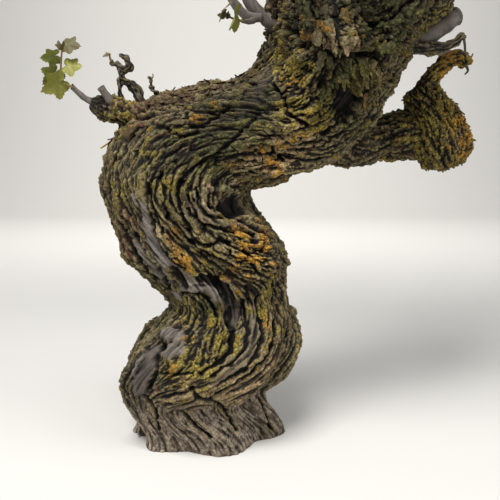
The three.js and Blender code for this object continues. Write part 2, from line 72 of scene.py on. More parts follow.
# How the trunk's depth is read at a pixel: from points that lie within so many pixels and, in mm, so far
# behind the first of them, weighted over so many pixels.
SEEN = {"reach": 2.2, "deep": 12, "blur": 0.9}

# The trunk's cross-sections from the ground to the top of its head: middle x, y and z, how far it leans to
# the right in degrees, half width and half depth.
TRUNK = [
    [-8, 12, 0, 0, 101, 86],
    [-10, 9, 20, 0, 96, 85],
    [-27, 4, 57, -2, 91, 86],
    [-14, -2, 87, 0, 105, 95],
    [4, -2, 128, -1, 110, 100],
    [16, 6, 160, -1, 98, 90],
    [24, 12, 188, 0, 78, 76],
    [11, 10, 219, -1, 86, 78],
    [-8, 4, 258, 0, 105, 86],
    [-27, 0, 300, 5, 103, 88],
    [-41, -2, 338, 9, 99, 88],
    [-38, -2, 370, 20, 96, 86],
    [-15, 0, 399, 33, 91, 84],
    [32, 2, 417, 42, 84, 82],
    [98, 0, 436, 45, 76, 80],
    [139, -8, 475, 42, 80, 84],
    [160, -18, 521, 28, 85, 90],
    [169, -22, 567, 17, 91, 94],
    [184, -18, 616, 10, 112, 98],
    [186, -12, 660, 6, 102, 90],
    [183, -8, 696, 2, 76, 72],
    [181, -6, 714, 0, 44, 42],
    [180, -6, 721, 0, 16, 16],
]
# Ridges that run along the trunk: how many, how far they wind, height as a share of the radius, starting
# angle.
RIDGES = [(3, 1.6, 0.03, 0.4), (5, -1.1, 0.035, 2.1), (8, 1.3, 0.03, 1.2)]
ROOTS = {"count": 6, "height": 0.09, "fade": 34, "start": 0.7}
# Burls, ledges and hollows: middle, reach and how far each stands out.
SWELLINGS = {
    "burl": ((-30, -92, 128), 52, 15),
    "hood": ((-12, -80, 208), 20, 11),
    "saddle": ((12, -74, 236), 20, -13),
    "groove_by_burl": ((26, -92, 150), 17, -11),
    "bare_tongue": ((-92, -55, 102), 24, 7),
    "right_boss": ((72, -42, 274), 32, 10),
    "crotch": ((56, -22, 326), 20, -13),
    "elbow_rib": ((-70, -78, 362), 34, 8),
    "limb_plate": ((60, -86, 382), 36, 8),
    "head_brow": ((128, -98, 520), 46, 13),
    "brow_hollow": ((158, -84, 460), 28, -12),
    "right_lobe": ((282, -42, 592), 40, 16),
    "back_burl": ((34, 100, 112), 46, 15),
    "back_hollow": ((0, 86, 204), 24, -9),
    "back_boss": ((-52, 90, 308), 40, 13),
    "back_limb": ((64, 84, 438), 34, 11),
    "back_head": ((214, 84, 602), 44, 14),
}

# Ribs that wind round the trunk's sides and back, in stretches from the ground up: how far each winds in
# degrees, half its width, how far it stands out, and how much is taken off between them. They fade towards
# the front.
RIBS = {
    "stretches": [(-0.04, 0.36), (0.27, 0.68), (0.6, 0.98)],
    "around": 10,
    "wind": (25, 75),
    "half": (14, 19),
    "out": (6, 12),
    "between": 3.5,
    "fade": 0.2,
    "front": {"at": 270, "reach": 50, "less": 0.85, "below": 0.8},
    "top": 0.06,
    "seed": 31,
}

# The arms: middle line or the rule that makes it, radius at the start and the tip, and knuckles of old cuts.
LOW_ARMS = {
    "arm_left": {
        "line": [[-50, -4, 416], [-90, -6, 434], [-122, -9, 446], [-153, -12, 460]],
        "radius": (28, 6),
        "knuckles": 2,
    },
    "arm_droop": {
        "line": [[136, 26, 436], [192, 56, 410], [244, 66, 412], [300, 60, 424]],
        "radius": (32, 25),
        "knuckles": 2,
    },
}
TOP_ARM_VALUES = ("root", "heading", "tilt", "length", "thick", "spurs")
TOP_ARMS = {
    "arm_1": ((136, -12, 658), 200, (62, 16), 370, 40, 3),
    "arm_2": ((160, 34, 652), 116, (64, 20), 380, 38, 2),
    "arm_3": ((186, 4, 666), 215, (-10, 16), 410, 42, 3),
    "arm_4": ((236, -4, 652), 356, (62, 14), 370, 42, 3),
    "arm_5": ((186, -46, 646), 284, (60, 18), 360, 36, 2),
    "arm_6": ((222, 42, 648), 48, (64, 22), 380, 38, 2),
}
TOP_ARM = {"knuckles": 4, "tip": 0.42}
ZIGZAG = {"steps": 6, "turn": (18, 58), "lean": 15, "stride": (0.75, 1.25)}
KNOB = {
    "line": [[290, 54, 484], [305, 56, 450], [322, 56, 412], [338, 54, 374]],
    "radius": (23, 27),
    "belly": 15,
}

# Where the bark's grain leaves the run of the limb: place, degrees to the right of it going up, and reach.
GRAIN = [
    ((-60, -80, 270), -32, 46), ((40, -78, 286), -62, 38), ((72, -60, 262), -70, 36),
    ((-8, -84, 178), -4, 30), ((-40, -98, 150), 30, 20), ((-6, -104, 140), -20, 26),
    ((92, -30, 190), 0, 34), ((84, -50, 130), 28, 34), ((50, -86, 106), 58, 34), ((-4, -104, 96), 76, 30),
    ((-50, -98, 84), 66, 26), ((-78, -84, 120), 24, 26), ((-10, -78, 24), -30, 50),
    ((-80, -40, 40), -14, 46), ((70, -20, 40), -34, 40), ((14, -76, 318), -24, 26),
    ((50, -70, 300), -60, 26), ((110, -80, 400), 30, 44), ((150, -100, 520), -40, 40),
    ((180, -90, 540), 60, 34), ((120, -90, 500), 20, 30), ((30, 90, 60), 30, 60),
    ((-60, 70, 210), -26, 60), ((120, 70, 480), 25, 60),
]
# Where the grain runs round an eye: place and reach.
WHORLS = [
    ((48, -40, 324), 26), ((34, 100, 112), 30), ((282, -42, 592), 30),
]
WHORL_EYE = 12
# How far the bark is broken up: the usual share, and places where it is more or less broken.
BROKEN = 0.4
BREAKS = [
    ((150, -80, 530), 90, 0.5), ((190, 0, 560), 110, 0.35), ((66, -60, 262), 42, 0.4),
    ((-10, -50, 0), 100, -0.2), ((-14, -96, 152), 34, 0.35), ((60, -76, 390), 44, 0.3),
    ((-40, -20, 450), 60, 0.4), ((66, -66, 150), 34, -0.38), ((40, -90, 100), 36, -0.38),
    ((-30, -100, 92), 30, -0.25), ((-64, -74, 280), 46, -0.25), ((8, -84, 330), 36, -0.2),
    ((0, -84, 424), 60, -0.38), ((60, -84, 446), 40, -0.3), ((-70, -80, 400), 50, -0.25),
]

# Ledges, strips and clefts that stand out of the bark or cut into it: the line, half width, height, how
# bare the wood is there, from 0, bark, to 1, smooth wood, and how light it is, where 0 is black. On the
# bare strips, knobs and hood this is how light the wood has weathered; near 0 in the hollows, such as the
# pit, crotch, recess, pocket and hollow, it is painted shade, and on the hood's rim it is a painted
# highlight.
# A place with two numbers, here and in PATCHES, is a column and row of the photo, read one by one: see
# seen().
MARKS = {
    "hood": ([(185, 287), (193, 286), (201, 285), (209, 289), (215, 296)], 8, 6, 0.9, 0.42),
    "hood_fall": ([(215, 296), (222, 307), (224, 318)], 7, 4, 0.5, 0.2),
    # Painted highlight: the hood's rim, pale where light falls on its top.
    "hood_rim": ([(185, 284), (193, 282), (201, 282), (209, 285), (216, 293)], 1.8, 1, 1, 0.85),
    "under_hood": ([(182, 294), (191, 293), (200, 294), (207, 298), (212, 305), (216, 315)],
                   2.2, -9, 0, 0),
    # Painted shade: the recess is painted near black.
    "recess": ([(201, 279), (211, 278), (220, 285), (228, 296), (232, 307), (231, 318)],
               9, -8, 0.95, 0.06),
    "recess_edge": ([(196, 273), (211, 272), (226, 277), (236, 290), (239, 305)], 3, 4, 0.2, 0.3),
    # Painted shade: the pit is painted black.
    "pit": ([(174, 271), (179, 279), (185, 286)], 7, -12, 0.95, 0),
    "strip_a": ([(135, 197), (144, 212), (149, 229), (157, 248), (168, 263), (180, 271), (190, 281)],
                6.5, 1.5, 0.95, 0.66),
    "strip_mid": ([(143, 225), (150, 236), (159, 257), (165, 270), (168, 281)], 4.6, 1.5, 0.95, 0.5),
    "strip_b": ([(133, 235), (140, 248), (152, 264), (163, 279), (174, 292), (181, 297)],
                5.6, 2, 0.9, 0.55),
    "strip_cleft": ([(137, 234), (142, 244), (156, 263), (164, 276), (170, 289)], 4, -10, 0.3, 0),
    "strip_side": ([(150, 214), (154, 232), (161, 248), (172, 260), (184, 268)], 2.4, -7, 0, 0),
    "left_dark": ([(120, 218), (128, 233), (135, 247), (142, 262), (156, 279)], 3.4, -8, 0, 0),
    "cleft_1": ([(161, 174), (165, 190), (164, 203), (169, 217)], 2.8, -8, 0, 0),
    "cleft_2": ([(180, 181), (178, 194), (182, 211), (187, 223), (193, 237)], 3, -9, 0, 0),
    "cleft_3": ([(193, 201), (196, 218), (204, 231)], 2.4, -7, 0, 0),
    "cleft_4": ([(133, 181), (137, 198), (140, 209)], 2.6, -7, 0, 0),
    "cleft_5": ([(148, 185), (151, 203), (156, 220), (163, 233)], 2.4, -7, 0, 0),
    # Painted shade: the crotch is painted black.
    "crotch": ([(228, 209), (238, 206), (247, 205)], 13, -18, 0.9, 0),
    "crotch_roof": ([(213, 190), (222, 187), (234, 192), (242, 194)], 3.5, 5, 0.2, 0.4),
    "fold_a": ([(193, 194), (194, 209), (204, 218), (219, 222), (234, 224)], 4, 4, 0.3, 0.5),
    "fold_b": ([(204, 191), (203, 203), (209, 213), (226, 218)], 3.4, 4, 0.3, 0.45),
    "foldcleft_a": ([(198, 194), (199, 207), (206, 215), (222, 219)], 2, -7, 0, 0),
    "foldcleft_b": ([(209, 194), (208, 205), (215, 212)], 2, -7, 0, 0),
    "foldcleft_c": ([(187, 198), (189, 212), (200, 224), (219, 228), (233, 227)], 2.6, -8, 0, 0),
    "boss_a": ([(189, 241), (204, 245), (219, 241), (229, 244)], 3, -9, 0, 0),
    "boss_b": ([(228, 230), (241, 232), (256, 234)], 2.6, -9, 0, 0),
    "boss_c": ([(203, 252), (218, 257), (230, 264)], 3.2, -8, 0, 0),
    "boss_d": ([(245, 251), (253, 262), (256, 271)], 2.6, -9, 0, 0),
    "boss_e": ([(265, 237), (263, 250)], 2.6, -8, 0, 0),
    "groove_top": ([(230, 311), (229, 321)], 4, -5, 0.5, 0.04),
    "groove": ([(228, 321), (231, 327), (232, 338), (230, 350), (218, 362), (202, 374)], 3.6, -11, 0, 0),
    "band_1": ([(241, 300), (246, 318), (248, 333), (244, 348), (230, 364), (211, 377)], 2.6, -8, 0, 0),
    "band_2": ([(257, 300), (261, 322), (263, 337), (256, 357), (241, 372), (218, 385)], 2.8, -8, 0, 0),
    "band_3": ([(272, 300), (274, 324), (272, 342), (263, 360), (248, 375), (230, 387), (209, 398)],
               2.8, -8, 0, 0),
    "smooth_band": ([(252, 311), (254, 332), (250, 353), (237, 369), (215, 382)], 6, 1, 0.45, 0.25),
    "pocket": ([(288, 331), (286, 341)], 5, -12, 0.5, 0),
    "tongue": ([(156, 352), (148, 365), (142, 378), (139, 389)], 11.5, 2, 1, 0.2),
    "tongue_edge": ([(148, 352), (139, 364), (134, 375)], 2.4, 4, 1, 0.55),
    "tongue_cleft": ([(159, 355), (157, 370), (148, 388)], 2.4, -7, 0, 0),
    "knob_top": ([(169, 335), (178, 339)], 9.5, 8, 1, 0.42),
    "knob_low": ([(169, 352), (177, 352)], 10.5, 8, 1, 0.4),
    "knob_hole": ([(164, 346), (165, 349)], 4.6, -16, 0, 0),
    "burl_cleft": ([(161, 373), (179, 374), (196, 373)], 2, -5, 0, 0),
    "burl_dent": ([(201, 364), (207, 360), (212, 359)], 3, -6, 0.4, 0.05),
    "foot_a": ([(182, 412), (196, 427), (211, 438)], 2.4, -7, 0, 0),
    "foot_b": ([(211, 399), (226, 411), (237, 429)], 2.8, -8, 0, 0),
    "foot_c": ([(260, 398), (267, 415), (271, 429)], 2.4, -6, 0, 0),
    "foot_d": ([(144, 394), (155, 409), (159, 430)], 2.6, -7, 0, 0),
    "foot_e": ([(192, 389), (199, 398), (211, 402)], 3, -7, 0, 0),
    "limb_1": ([(143, 128), (159, 128), (173, 132), (186, 137), (198, 132)], 2.4, -6, 0, 0),
    "limb_2": ([(187, 114), (190, 127), (203, 127), (214, 119), (227, 108), (244, 93)], 2.4, -6, 0, 0),
    "limb_3": ([(183, 181), (192, 168), (208, 160), (226, 146), (242, 132), (256, 119)], 2.6, -7, 0, 0),
    "limb_4": ([(251, 146), (272, 147), (279, 159)], 2.8, -8, 0, 0),
    "limb_5": ([(236, 176), (256, 176), (80, -46, 370)], 2.4, -7, 0, 0),
    "limb_6": ([(134, 117), (139, 120), (155, 116)], 3, -8, 0, 0),
    "sheet": ([(244, 106), (261, 89), (270, 73)], 11, 2, 0.6, 0.08),
    "brow_gap": ([(104, -98, 518), (304, 45), (315, 43), (323, 49), (335, 55), (357, 56), (373, 54)],
                 5, -15, 0, 0),
    "brow_lump": ([(323, 31), (342, 38), (356, 31)], 11, 11, 0, 0),
    # Painted shade: the hollow is painted black.
    "hollow": ([(341, 87), (348, 98), (345, 109)], 12, -15, 0.85, 0),
    "hollow_side": ([(359, 98), (365, 87)], 7, -10, 0.6, 0),
    "crack_a": ([(273, 85), (284, 98), (287, 113), (302, 122), (309, 127)], 2.6, -10, 0, 0),
    "crack_b": ([(250, 148), (266, 149), (276, 148), (284, 162)], 2.4, -8, 0, 0),
    "dark_a": ([(316, 58), (324, 72), (322, 86)], 5, -9, 0, 0),
    "dark_b": ([(285, 24), (296, 35), (302, 45)], 4, -9, 0, 0),
    "dark_c": ([(360, 0), (364, 18), (380, 31)], 4, -9, 0, 0),
    "limb_7": ([(323, 135), (336, 125), (348, 116)], 3, -8, 0, 0),
}

ARM_MARKS = {
    "arm_left": {"collar": ([(-98, -22, 446), (-108, -24, 449), (-119, -22, 453)], 13, 11, 0, 0)},
}

# Patches of lichen, bare places and other tints, and patches of painted shadow and painted light: where
# each lies, its reach and its strength.
PATCHES = {
    "mustard": [
        ((219, 341), 23, 1.0), ((193, 363), 29, 1.0), ((170, 368), 20, 1.0), ((203, 370), 21, 0.9),
        ((233, 348), 13, 0.8), ((187, 274), 17, 0.9), ((200, 254), 20, 0.6), ((267, 289), 18, 0.8),
        ((241, 234), 16, 0.6), ((182, 187), 18, 0.9), ((122, 190), 23, 0.6), ((156, 187), 16, 0.8),
        ((278, 331), 21, 0.7), ((259, 311), 21, 0.6), ((220, 316), 18, 0.8), ((189, 318), 21, 0.8),
        ((183, 303), 21, 0.5), ((182, 132), 10, 1.0), ((143, 153), 21, 0.6), ((156, 154), 16, 0.6),
        ((294, 108), 23, 0.9), ((262, 154), 16, 0.5), ((276, 159), 16, 0.5), ((186, 161), 16, 0.5),
        ((133, 158), 18, 0.5), ((296, 72), 26, 1.0), ((303, 92), 21, 0.8), ((316, 112), 29, 0.9),
        ((296, 117), 18, 0.8), ((283, 58), 23, 0.9), ((431, 27), 26, 1.0), ((373, 86), 21, 0.6),
        ((-118, -24, 436), 26, 0.7), ((40, -86, 120), 21, 0.4), ((60, 90, 130), 65, 0.5),
        ((-40, 80, 330), 65, 0.4), ((120, 80, 470), 78, 0.5), ((200, 80, 600), 91, 0.5),
        ((318, 40, 430), 78, 0.95), ((330, 40, 515), 52, 1.0), ((90, -72, 392), 22, 0.45),
        ((120, -86, 420), 20, 0.7), ((191, 350), 20, 0.8), ((-6, -84, 178), 16, 0.7),
    ],
    "orange": [
        ((182, 259), 16, 1.0), ((177, 248), 14, 0.8), ((187, 340), 11, 0.8), ((256, 250), 24, 0.9),
        ((239, 231), 16, 0.9), ((234, 274), 15, 0.8), ((266, 327), 11, 0.9), ((274, 303), 11, 0.7),
        ((246, 259), 18, 0.8), ((267, 248), 15, 0.8), ((248, 281), 12, 0.7), ((196, 118), 11, 1.0),
        ((271, 159), 15, 0.8), ((247, 155), 12, 0.7), ((290, 83), 15, 0.8), ((308, 39), 14, 0.8),
        ((259, 153), 12, 0.7), ((278, 159), 12, 0.7), ((324, 18), 18, 0.6), ((352, 30, 420), 42, 1.0),
        ((330, 46, 515), 34, 1.0), ((30, 86, 280), 50, 0.5), ((60, 80, 400), 45, 0.4),
        ((263, 235), 20, 0.9), ((247, 269), 18, 0.7), ((100, -76, 396), 16, 0.8), ((231, 164), 12, 0.7),
        ((120, -84, 412), 14, 0.7), ((172, 237), 12, 0.7), ((172, 372), 14, 0.75), ((207, 349), 10, 0.6),
        ((-14, -84, 190), 9, 0.5), ((96, -90, 470), 14, 0.6),
    ],
    "moss": [
        ((311, 16), 30, 0.8), ((380, 16), 40, 0.9), ((403, 15), 30, 0.8), ((327, 95), 30, 0.8),
        ((342, 69), 26, 0.9), ((266, 92), 16, 0.7), ((357, 130), 26, 0.6), ((214, 148), 60, 0.6),
        ((255, 123), 50, 0.6), ((284, -28, 548), 26, 0.9), ((208, 305), 20, 0.8),
        ((10, 90, 360), 80, 0.4), ((-90, 0, 200), 60, 0.3), ((150, 60, 560), 90, 0.4),
        ((330, 50, 450), 60, 0.4), ((182, 148), 40, 0.5),
    ],
    "red": [
        ((-80, -30, 452), 36, 1.2), ((176, 96), 46, 1.3), ((0, -30, 478), 30, 0.6), ((245, 97), 20, 0.6),
        ((194, 201), 12, 0.8), ((204, 215), 10, 0.7), ((124, 233), 36, 1.3), ((84, -60, 560), 24, 1.0),
        ((60, 40, 480), 60, 0.3), ((230, 276), 14, 0.5),
    ],
    "pink": [
        ((342, 40), 14, 1.0), ((331, 37), 12, 0.9), ((357, 28), 14, 0.7), ((285, 138), 32, 1.3),
        ((44, -80, 380), 26, 0.8), ((100, -70, 386), 20, 1.0), ((259, 146), 28, 1.2),
        ((404, 34), 18, 0.7), ((301, 86), 12, 0.6), ((256, 142), 14, 0.7), ((239, 181), 16, 0.8),
        ((280, 166), 16, 0.7), ((206, 187), 14, 0.8), ((209, 205), 12, 0.8), ((30, -78, 308), 16, 0.6),
        ((158, 229), 16, 0.5), ((100, 70, 440), 50, 0.3), ((340, 40, 385), 24, 0.7),
        ((231, 383), 34, 0.9), ((197, 392), 26, 0.7), ((66, -76, 120), 30, 0.7),
    ],
    # Painted shadow, darkening the bark where shade falls.
    "shadow": [
        ((333, 18), 80, 1.15), ((370, 46), 46, 0.5), ((230, -70, 560), 70, 0.7), ((214, 125), 56, 0.8),
        ((255, 105), 46, 0.9), ((162, 109), 50, 0.6), ((346, 89), 50, 0.7), ((-150, -10, 456), 26, 0.8),
        ((100, -40, 560), 50, 0.6), ((170, -90, 496), 30, 0.5), ((177, 151), 42, 0.5),
        ((209, 311), 20, 0.3), ((60, -66, 120), 40, 0.25), ((174, 94), 46, 0.5),
        ((20, -30, 482), 40, 0.4), ((357, 87), 30, 0.5), ((190, 0, 610), 90, 0.3), ((125, 226), 34, 0.6),
        ((-92, -72, 168), 28, 0.6), ((-106, -60, 128), 26, 0.5), ((96, -40, 160), 18, 0.4),
    ],
    # Painted light, lightening the bark where light falls.
    "glow": [
        ((256, 253), 34, 0.9), ((282, 150), 40, 1.2), ((239, 235), 20, 0.6), ((341, 36), 22, 0.9),
        ((297, 81), 26, 0.6), ((183, 260), 20, 0.5), ((20, -80, 350), 26, 0.3), ((293, 74), 34, 0.9),
        ((316, 110), 28, 0.5), ((199, 366), 34, 0.4), ((149, 189), 26, 0.3),
    ],
}

# How each lichen spreads: how much lies where no patch is, less than 0 for none, how broken the edges of its
# patches are, and how much of it lies as flecks elsewhere.
LICHENS = {
    "mustard": (-0.8, 1.05, 0.5),
    "orange": (-0.9, 1.1, 0),
    "moss": (-0.6, 0.9, 0.3),
    "red": (-0.6, 0.6, 0),
    "pink": (-0.6, 0.8, 0),
}
# The noise that breaks them up: share, size in mm, and what is added to the seed.
LICHEN_NOISE = ((0.42, 15, 15), (0.5, 6, 16), (0.4, 3, 19))

# Where long shreds hang in tufts under the head.
TUFTS = {"at": (184, -82, 482), "reach": 28}
# What all shreds share: how many of them are turned to point down, how steeply the hanging ones fall, how
# flat they lie, how far they stray from the grain, how their length varies and what it is at most, how thick
# they are in mm, how far they twist, how much of them lies behind their place, and their least height in mm.
SHRED = {"down": 0.75, "fall": 1.2, "flat": 0.85, "sway": 0.14, "vary": 0.35, "most": 1.9,
         "thick": (1.0, 2.2), "twist": 0.5, "behind": 0.3, "lowest": 2}
# The shreds of each place: how many, their length, width as a share of it, curl, how many hang and how
# loosely.
SHREDS = {
    "trunk": {"seed": 81, "count": 2400, "size": 11, "slim": (0.28, 0.6), "curl": (0, 0.3)},
    "top": {"seed": 83, "count": 300, "size": 8, "slim": (0.5, 0.9), "curl": (0, 0.5), "loose": 0.4},
    # The tufts' own tints: some mustard lichen, painted light of 0.55 and no painted cleft shade.
    "tufts": {"seed": 82, "count": 55, "size": 26, "slim": (0.12, 0.24), "curl": (0.5, 1.2), "hang": 0.9,
              "loose": 0.2, "look": {"mustard": 0.4, "light": 0.55, "cleft": 0.0}},
    "head": {"seed": 84, "count": 300, "size": 13, "slim": (0.25, 0.5), "curl": (0, 0.4), "hang": 0.3},
    "arm": {"count": 130, "size": 9, "slim": (0.35, 0.7), "curl": (0, 0.35)},
    "knob": {"count": 320, "size": 6, "slim": (0.5, 0.9), "curl": (0, 0.4), "loose": 0.3},
}

# Where the bark lies calmer or, less than 0, rougher than elsewhere: place, reach and how much.
CALM = [
    ((-12, -104, 140), 40, 0.4), ((66, -66, 150), 44, 0.35), ((30, -90, 104), 40, 0.4),
    ((10, -80, 330), 40, 0.15), ((-70, -80, 120), 30, 0.4), ((150, -90, 540), 90, -0.4),
    ((210, -50, 570), 90, -0.3), ((60, -70, 268), 34, -0.2), ((-30, -90, 330), 60, -0.1),
]
CALM_FOOT = {"share": 0.62, "height": (104, 62)}
CALM_RANGE = (-0.6, 0.85)
# How far below and above the smooth wall the bark goes, and how wide the looks at near and wide relief are.
BARK_RANGE = (-22, 14)
RELIEF = {"near": 2.6, "wide": 9}
# How far the noise that gives each plate and each cord its own look is shifted from one to the next, in mm.
PLATE_SHIFT = np.array([31.7, 17.3, 23.9])
CORD_SHIFT = np.array([7.1, 41.3, 12.7])

# Old spurs on the elbow, the head and the knob: middle line, radius at the start and the tip, and finish.
OLD_SPURS = {
    "left_cane": ([[-140, -12, 457], [-160, -14, 463], [-178, -16, 479]], (5, 3.4), "cane"),
    "left_cut_spur": ([[-110, -16, 436], [-124, -24, 456], [-138, -28, 477]], (5.5, 4.6), "cane"),
    "left_peg": ([[-112, 4, 444], [-118, 4, 470], [-119, 4, 490]], (3.6, 3), "dead"),
    "left_crooked_spur": (
        [[-84, 2, 434], [-92, 3, 462], [-101, 2, 481], [-113, 0, 489], [-115, -2, 499], [-104, -2, 505],
         [-107, -2, 514], [-116, -2, 523]],
        (6, 2.4), "dead",
    ),
    "left_crooked_fork": (
        [[-112, -2, 498], [-120, -2, 507], [-127, -2, 509], [-129, -2, 514]], (3.4, 1.8), "dead",
    ),
    "left_dead_twig": ([[-64, 8, 458], [-70, 6, 470], [-77, 6, 481], [-79, 4, 494]], (2.4, 1.3), "dead"),
    "head_left_spur": (
        [[98, -30, 550], [80, -33, 558], [66, -36, 568], [52, -39, 582], [42, -42, 606]], (10, 6.5), "cane",
    ),
    "head_left_fork": ([[68, -37, 564], [52, -40, 563], [38, -42, 574], [24, -44, 594]], (7, 5), "cane"),
    "head_left_bud": ([[62, -39, 562], [54, -46, 556], [45, -52, 556]], (4.5, 2.6), "cane"),
    "head_right_spur": (
        [[258, -24, 534], [286, -22, 544], [306, -20, 558], [318, -18, 567]], (11, 10.5), "cane",
    ),
    "head_right_twig": (
        [[246, -34, 530], [275, -34, 526], [298, -32, 525], [314, -30, 531], [328, -28, 541]],
        (9, 2.8), "dead",
    ),
    "knob_spur": (
        [[292, 54, 468], [300, 53, 485], [314, 50, 508], [330, 48, 521], [345, 46, 523], [353, 45, 514]],
        (13, 7.5), "lichen",
    ),
}
# Thin dead bits on them: middle line, and radius at the start and the tip.
TWIGLETS = [
    ([[326, -28, 541], [328, -28, 530], [329, -28, 519]], (1.9, 1.5)),
    ([[351, 45, 519], [357, 44, 522], [360, 44, 528]], (1.7, 0.8)),
    ([[352, 45, 511], [354, 44, 505], [350, 44, 500]], (2.2, 1.0)),
    ([[322, 50, 518], [312, 47, 516], [304, 46, 510], [298, 46, 509]], (2.0, 1.2)),
    ([[-119, 4, 462], [-125, 2, 466], [-126, 2, 472]], (1.0, 0.6)),
    ([[-79, 4, 488], [-75, 4, 493], [-75, 3, 497]], (0.9, 0.6)),
    ([[84, -44, 520], [78, -48, 530], [79, -50, 540]], (2.6, 0.9)),
    ([[76, -40, 512], [70, -42, 519], [69, -42, 528]], (2.2, 0.8)),
]
# The rings of a cane's cut end, from its edge in: width as a share of the radius, and how deep in mm.
CUT_END = ((0.16, 0.2), (0.55, 0), (0.08, 0.9))
# The rings of a bud, from its base up: radius and height.
BUD_PROFILE = ((0.34, -0.12), (0.42, 0.16), (0.4, 0.42), (0.27, 0.7), (0.1, 0.92))
# The buds of a pruned spur: where along it, how far they point up, how far from its middle they sit as a
# share of its radius, and their length in mm.
BUDS = {"at": (0.5, 0.75, 0.93), "rise": 0.8, "out": 0.8, "length": 5.5}
# Where each kind of random draw starts.
SEEDS = {"zigzag": 51, "knuckles": 100, "spur": 200, "shoot": 300, "leaves": 400, "blades": 5000,
         "old_cane": 500, "ripe_cane": 600, "buds": 700, "arm_bark": 20, "knob_bark": 60, "stub_bark": 70,
         "arm_shreds": 90, "knob_shreds": 99}
# The pruned spurs: length and radius in mm, how far they spread from the way up, and where on an arm the
# lowest springs.
SPUR = {"length": (52, 84), "radius": (6.2, 4.6), "spread": 0.75, "low": 0.74}
# The young shoots: lengths and radii in mm, turns in radians, and shares of the stem or of a leaf's length.
SHOOT = {
    "length": (40, 76),
    "radius": (1.9, 1.1),
    "leaves": (3, 4),
    "span": (0.35, 0.93),
    "blade": (17, 27),
    "petiole": 0.6,
    "petiole_radius": (0.8, 0.7),
    "droop": (0.6, 1.3),
    "roll": (-0.4, 0.4),
    "sunk": 2,
    "bend": 0.3,
    "sway": 0.8,
    "rise": (0.3, 1),
    "smaller": (1, 0.6),
    "vary": (0.85, 1.1),
    "young": 0.8,
    "swelling": 2.6,
}
# The folded leaves at its tip: how many, where, the turn between them, how far they spread, and their size.
SHOOT_TIP = {"count": 3, "at": 0.985, "turn": 2.2, "spread": 0.35, "blade": (0.34, 0.2)}
SHOWN_SHOOTS = {
    "shoot_left": {"on": "left_cane", "aim": (0.06, 0, 1), "length": 58, "leaves": 6, "span": (0.12, 0.93),
                   "roll": (0.8, 1.2), "blade": 26, "seed": 380},
    "shoot_crooked": {"on": "left_crooked_fork", "aim": (-0.2, 0, 1), "length": 8, "leaves": 1, "blade": 7,
                      "seed": 42},
    "shoot_head": {"on": "head_left_bud", "aim": (-1, -0.15, 0.35), "length": 24, "leaves": 3,
                   "roll": (0.8, 1.2), "blade": 25, "seed": 142},
}


def mix(a, b, share):
    return a + (b - a) * share


def seeded(seed):
    """Numbers from 0 to 1 that are the same each time for the same seed."""
    state = seed & 0xFFFFFFFF

    def draw():
        nonlocal state
        state = (state + 0x6D2B79F5) & 0xFFFFFFFF
        n = ((state ^ (state >> 15)) * (state | 1)) & 0xFFFFFFFF
        n ^= (n + (((n ^ (n >> 7)) * (n | 61)) & 0xFFFFFFFF)) & 0xFFFFFFFF
        return ((n ^ (n >> 14)) & 0xFFFFFFFF) / 4294967296

    return draw


def along(rows, t):
    """Rows of numbers read as smooth curves, at t from 0 at the first row to 1 at the last."""
    rows = np.asarray(rows, float)
    t = np.asarray(t, float)
    last = len(rows) - 1
    i = np.clip(np.floor(t * last).astype(int), 0, last - 1)
    u = (t * last - i)[..., None]
    a, b, c, d = (rows[np.clip(i + k, 0, last)] for k in (-1, 0, 1, 2))
    start, end = (c - a) / 2, (d - b) / 2
    bend = 3 * (c - b) - 2 * start - end
    twist = 2 * (b - c) + start + end
    return b + u * (start + u * (bend + u * twist))


def unit(v):
    return v / np.maximum(np.linalg.norm(v, axis=-1, keepdims=True), 1e-9)


def smoothstep(low, high, value):
    u = np.clip((value - low) / (high - low), 0, 1)
    return u * u * (3 - 2 * u)


# The lattice of the noise: how many directions it has, how far seeds and the origin lie apart in it, and
# what brings its values to about -1 to 1.
NOISE_SIZE = 4096
NOISE_STRIDE = 17.3
NOISE_OFFSET = 1000
NOISE_GAIN = 1.7
_shuffle = np.random.default_rng(11)
SCRAMBLE = _shuffle.permutation(NOISE_SIZE)
DIRECTIONS = unit(_shuffle.normal(size=(NOISE_SIZE, 3)))


def noise(place, size, seed=0):
    """Smooth gradient noise of about -1 to 1 at points in space, with bumps of the given size in mm."""
    p = np.asarray(place) / size + NOISE_STRIDE * seed + NOISE_OFFSET
    cell = np.floor(p).astype(int)
    f = p - cell
    fade = f * f * f * (f * (f * 6 - 15) + 10)
    total = np.zeros(p.shape[:-1])
    for corner in product((0, 1), repeat=3):
        key = np.zeros(p.shape[:-1], int) + seed
        weight = np.ones(p.shape[:-1])
        for n in range(3):
            key = SCRAMBLE[(key + cell[..., n] + corner[n]) % NOISE_SIZE]
            weight = weight * (fade[..., n] if corner[n] else 1 - fade[..., n])
        total += weight * np.sum(DIRECTIONS[key] * (f - corner), axis=-1)
    return total * NOISE_GAIN


def away_from_line(place, line):
    """How far points lie from a line of points, in mm."""
    line = np.asarray(line, float)
    nearest = np.full(place.shape[:-1], 1e9)
    for a, b in zip(line[:-1], line[1:]):
        way = b - a
        share = np.clip(np.sum((place - a) * way, axis=-1) / max(way @ way, 1e-9), 0, 1)
        nearest = np.minimum(nearest, np.linalg.norm(place - a - share[..., None] * way, axis=-1))
    return nearest


@lru_cache(maxsize=None)
def photographed():
    """The photo's axes, right, up and ahead, its scale, and each trunk point's column, row and depth."""
    tilt = math.radians(CAMERA["tilt"])
    axes = np.array([[1, 0, 0], [0, math.sin(tilt), math.cos(tilt)], [0, math.cos(tilt), -math.sin(tilt)]])
    scale = CAMERA["lens"] / CAMERA["film"] * CAMERA["pixels"]
    right, above, depth = axes @ (trunk_points(*TRUNK_GRID).reshape(-1, 3) - CAMERA["at"]).T
    middle = CAMERA["pixels"] / 2
    return axes, scale, middle + scale * right / depth, middle - scale * above / depth, depth


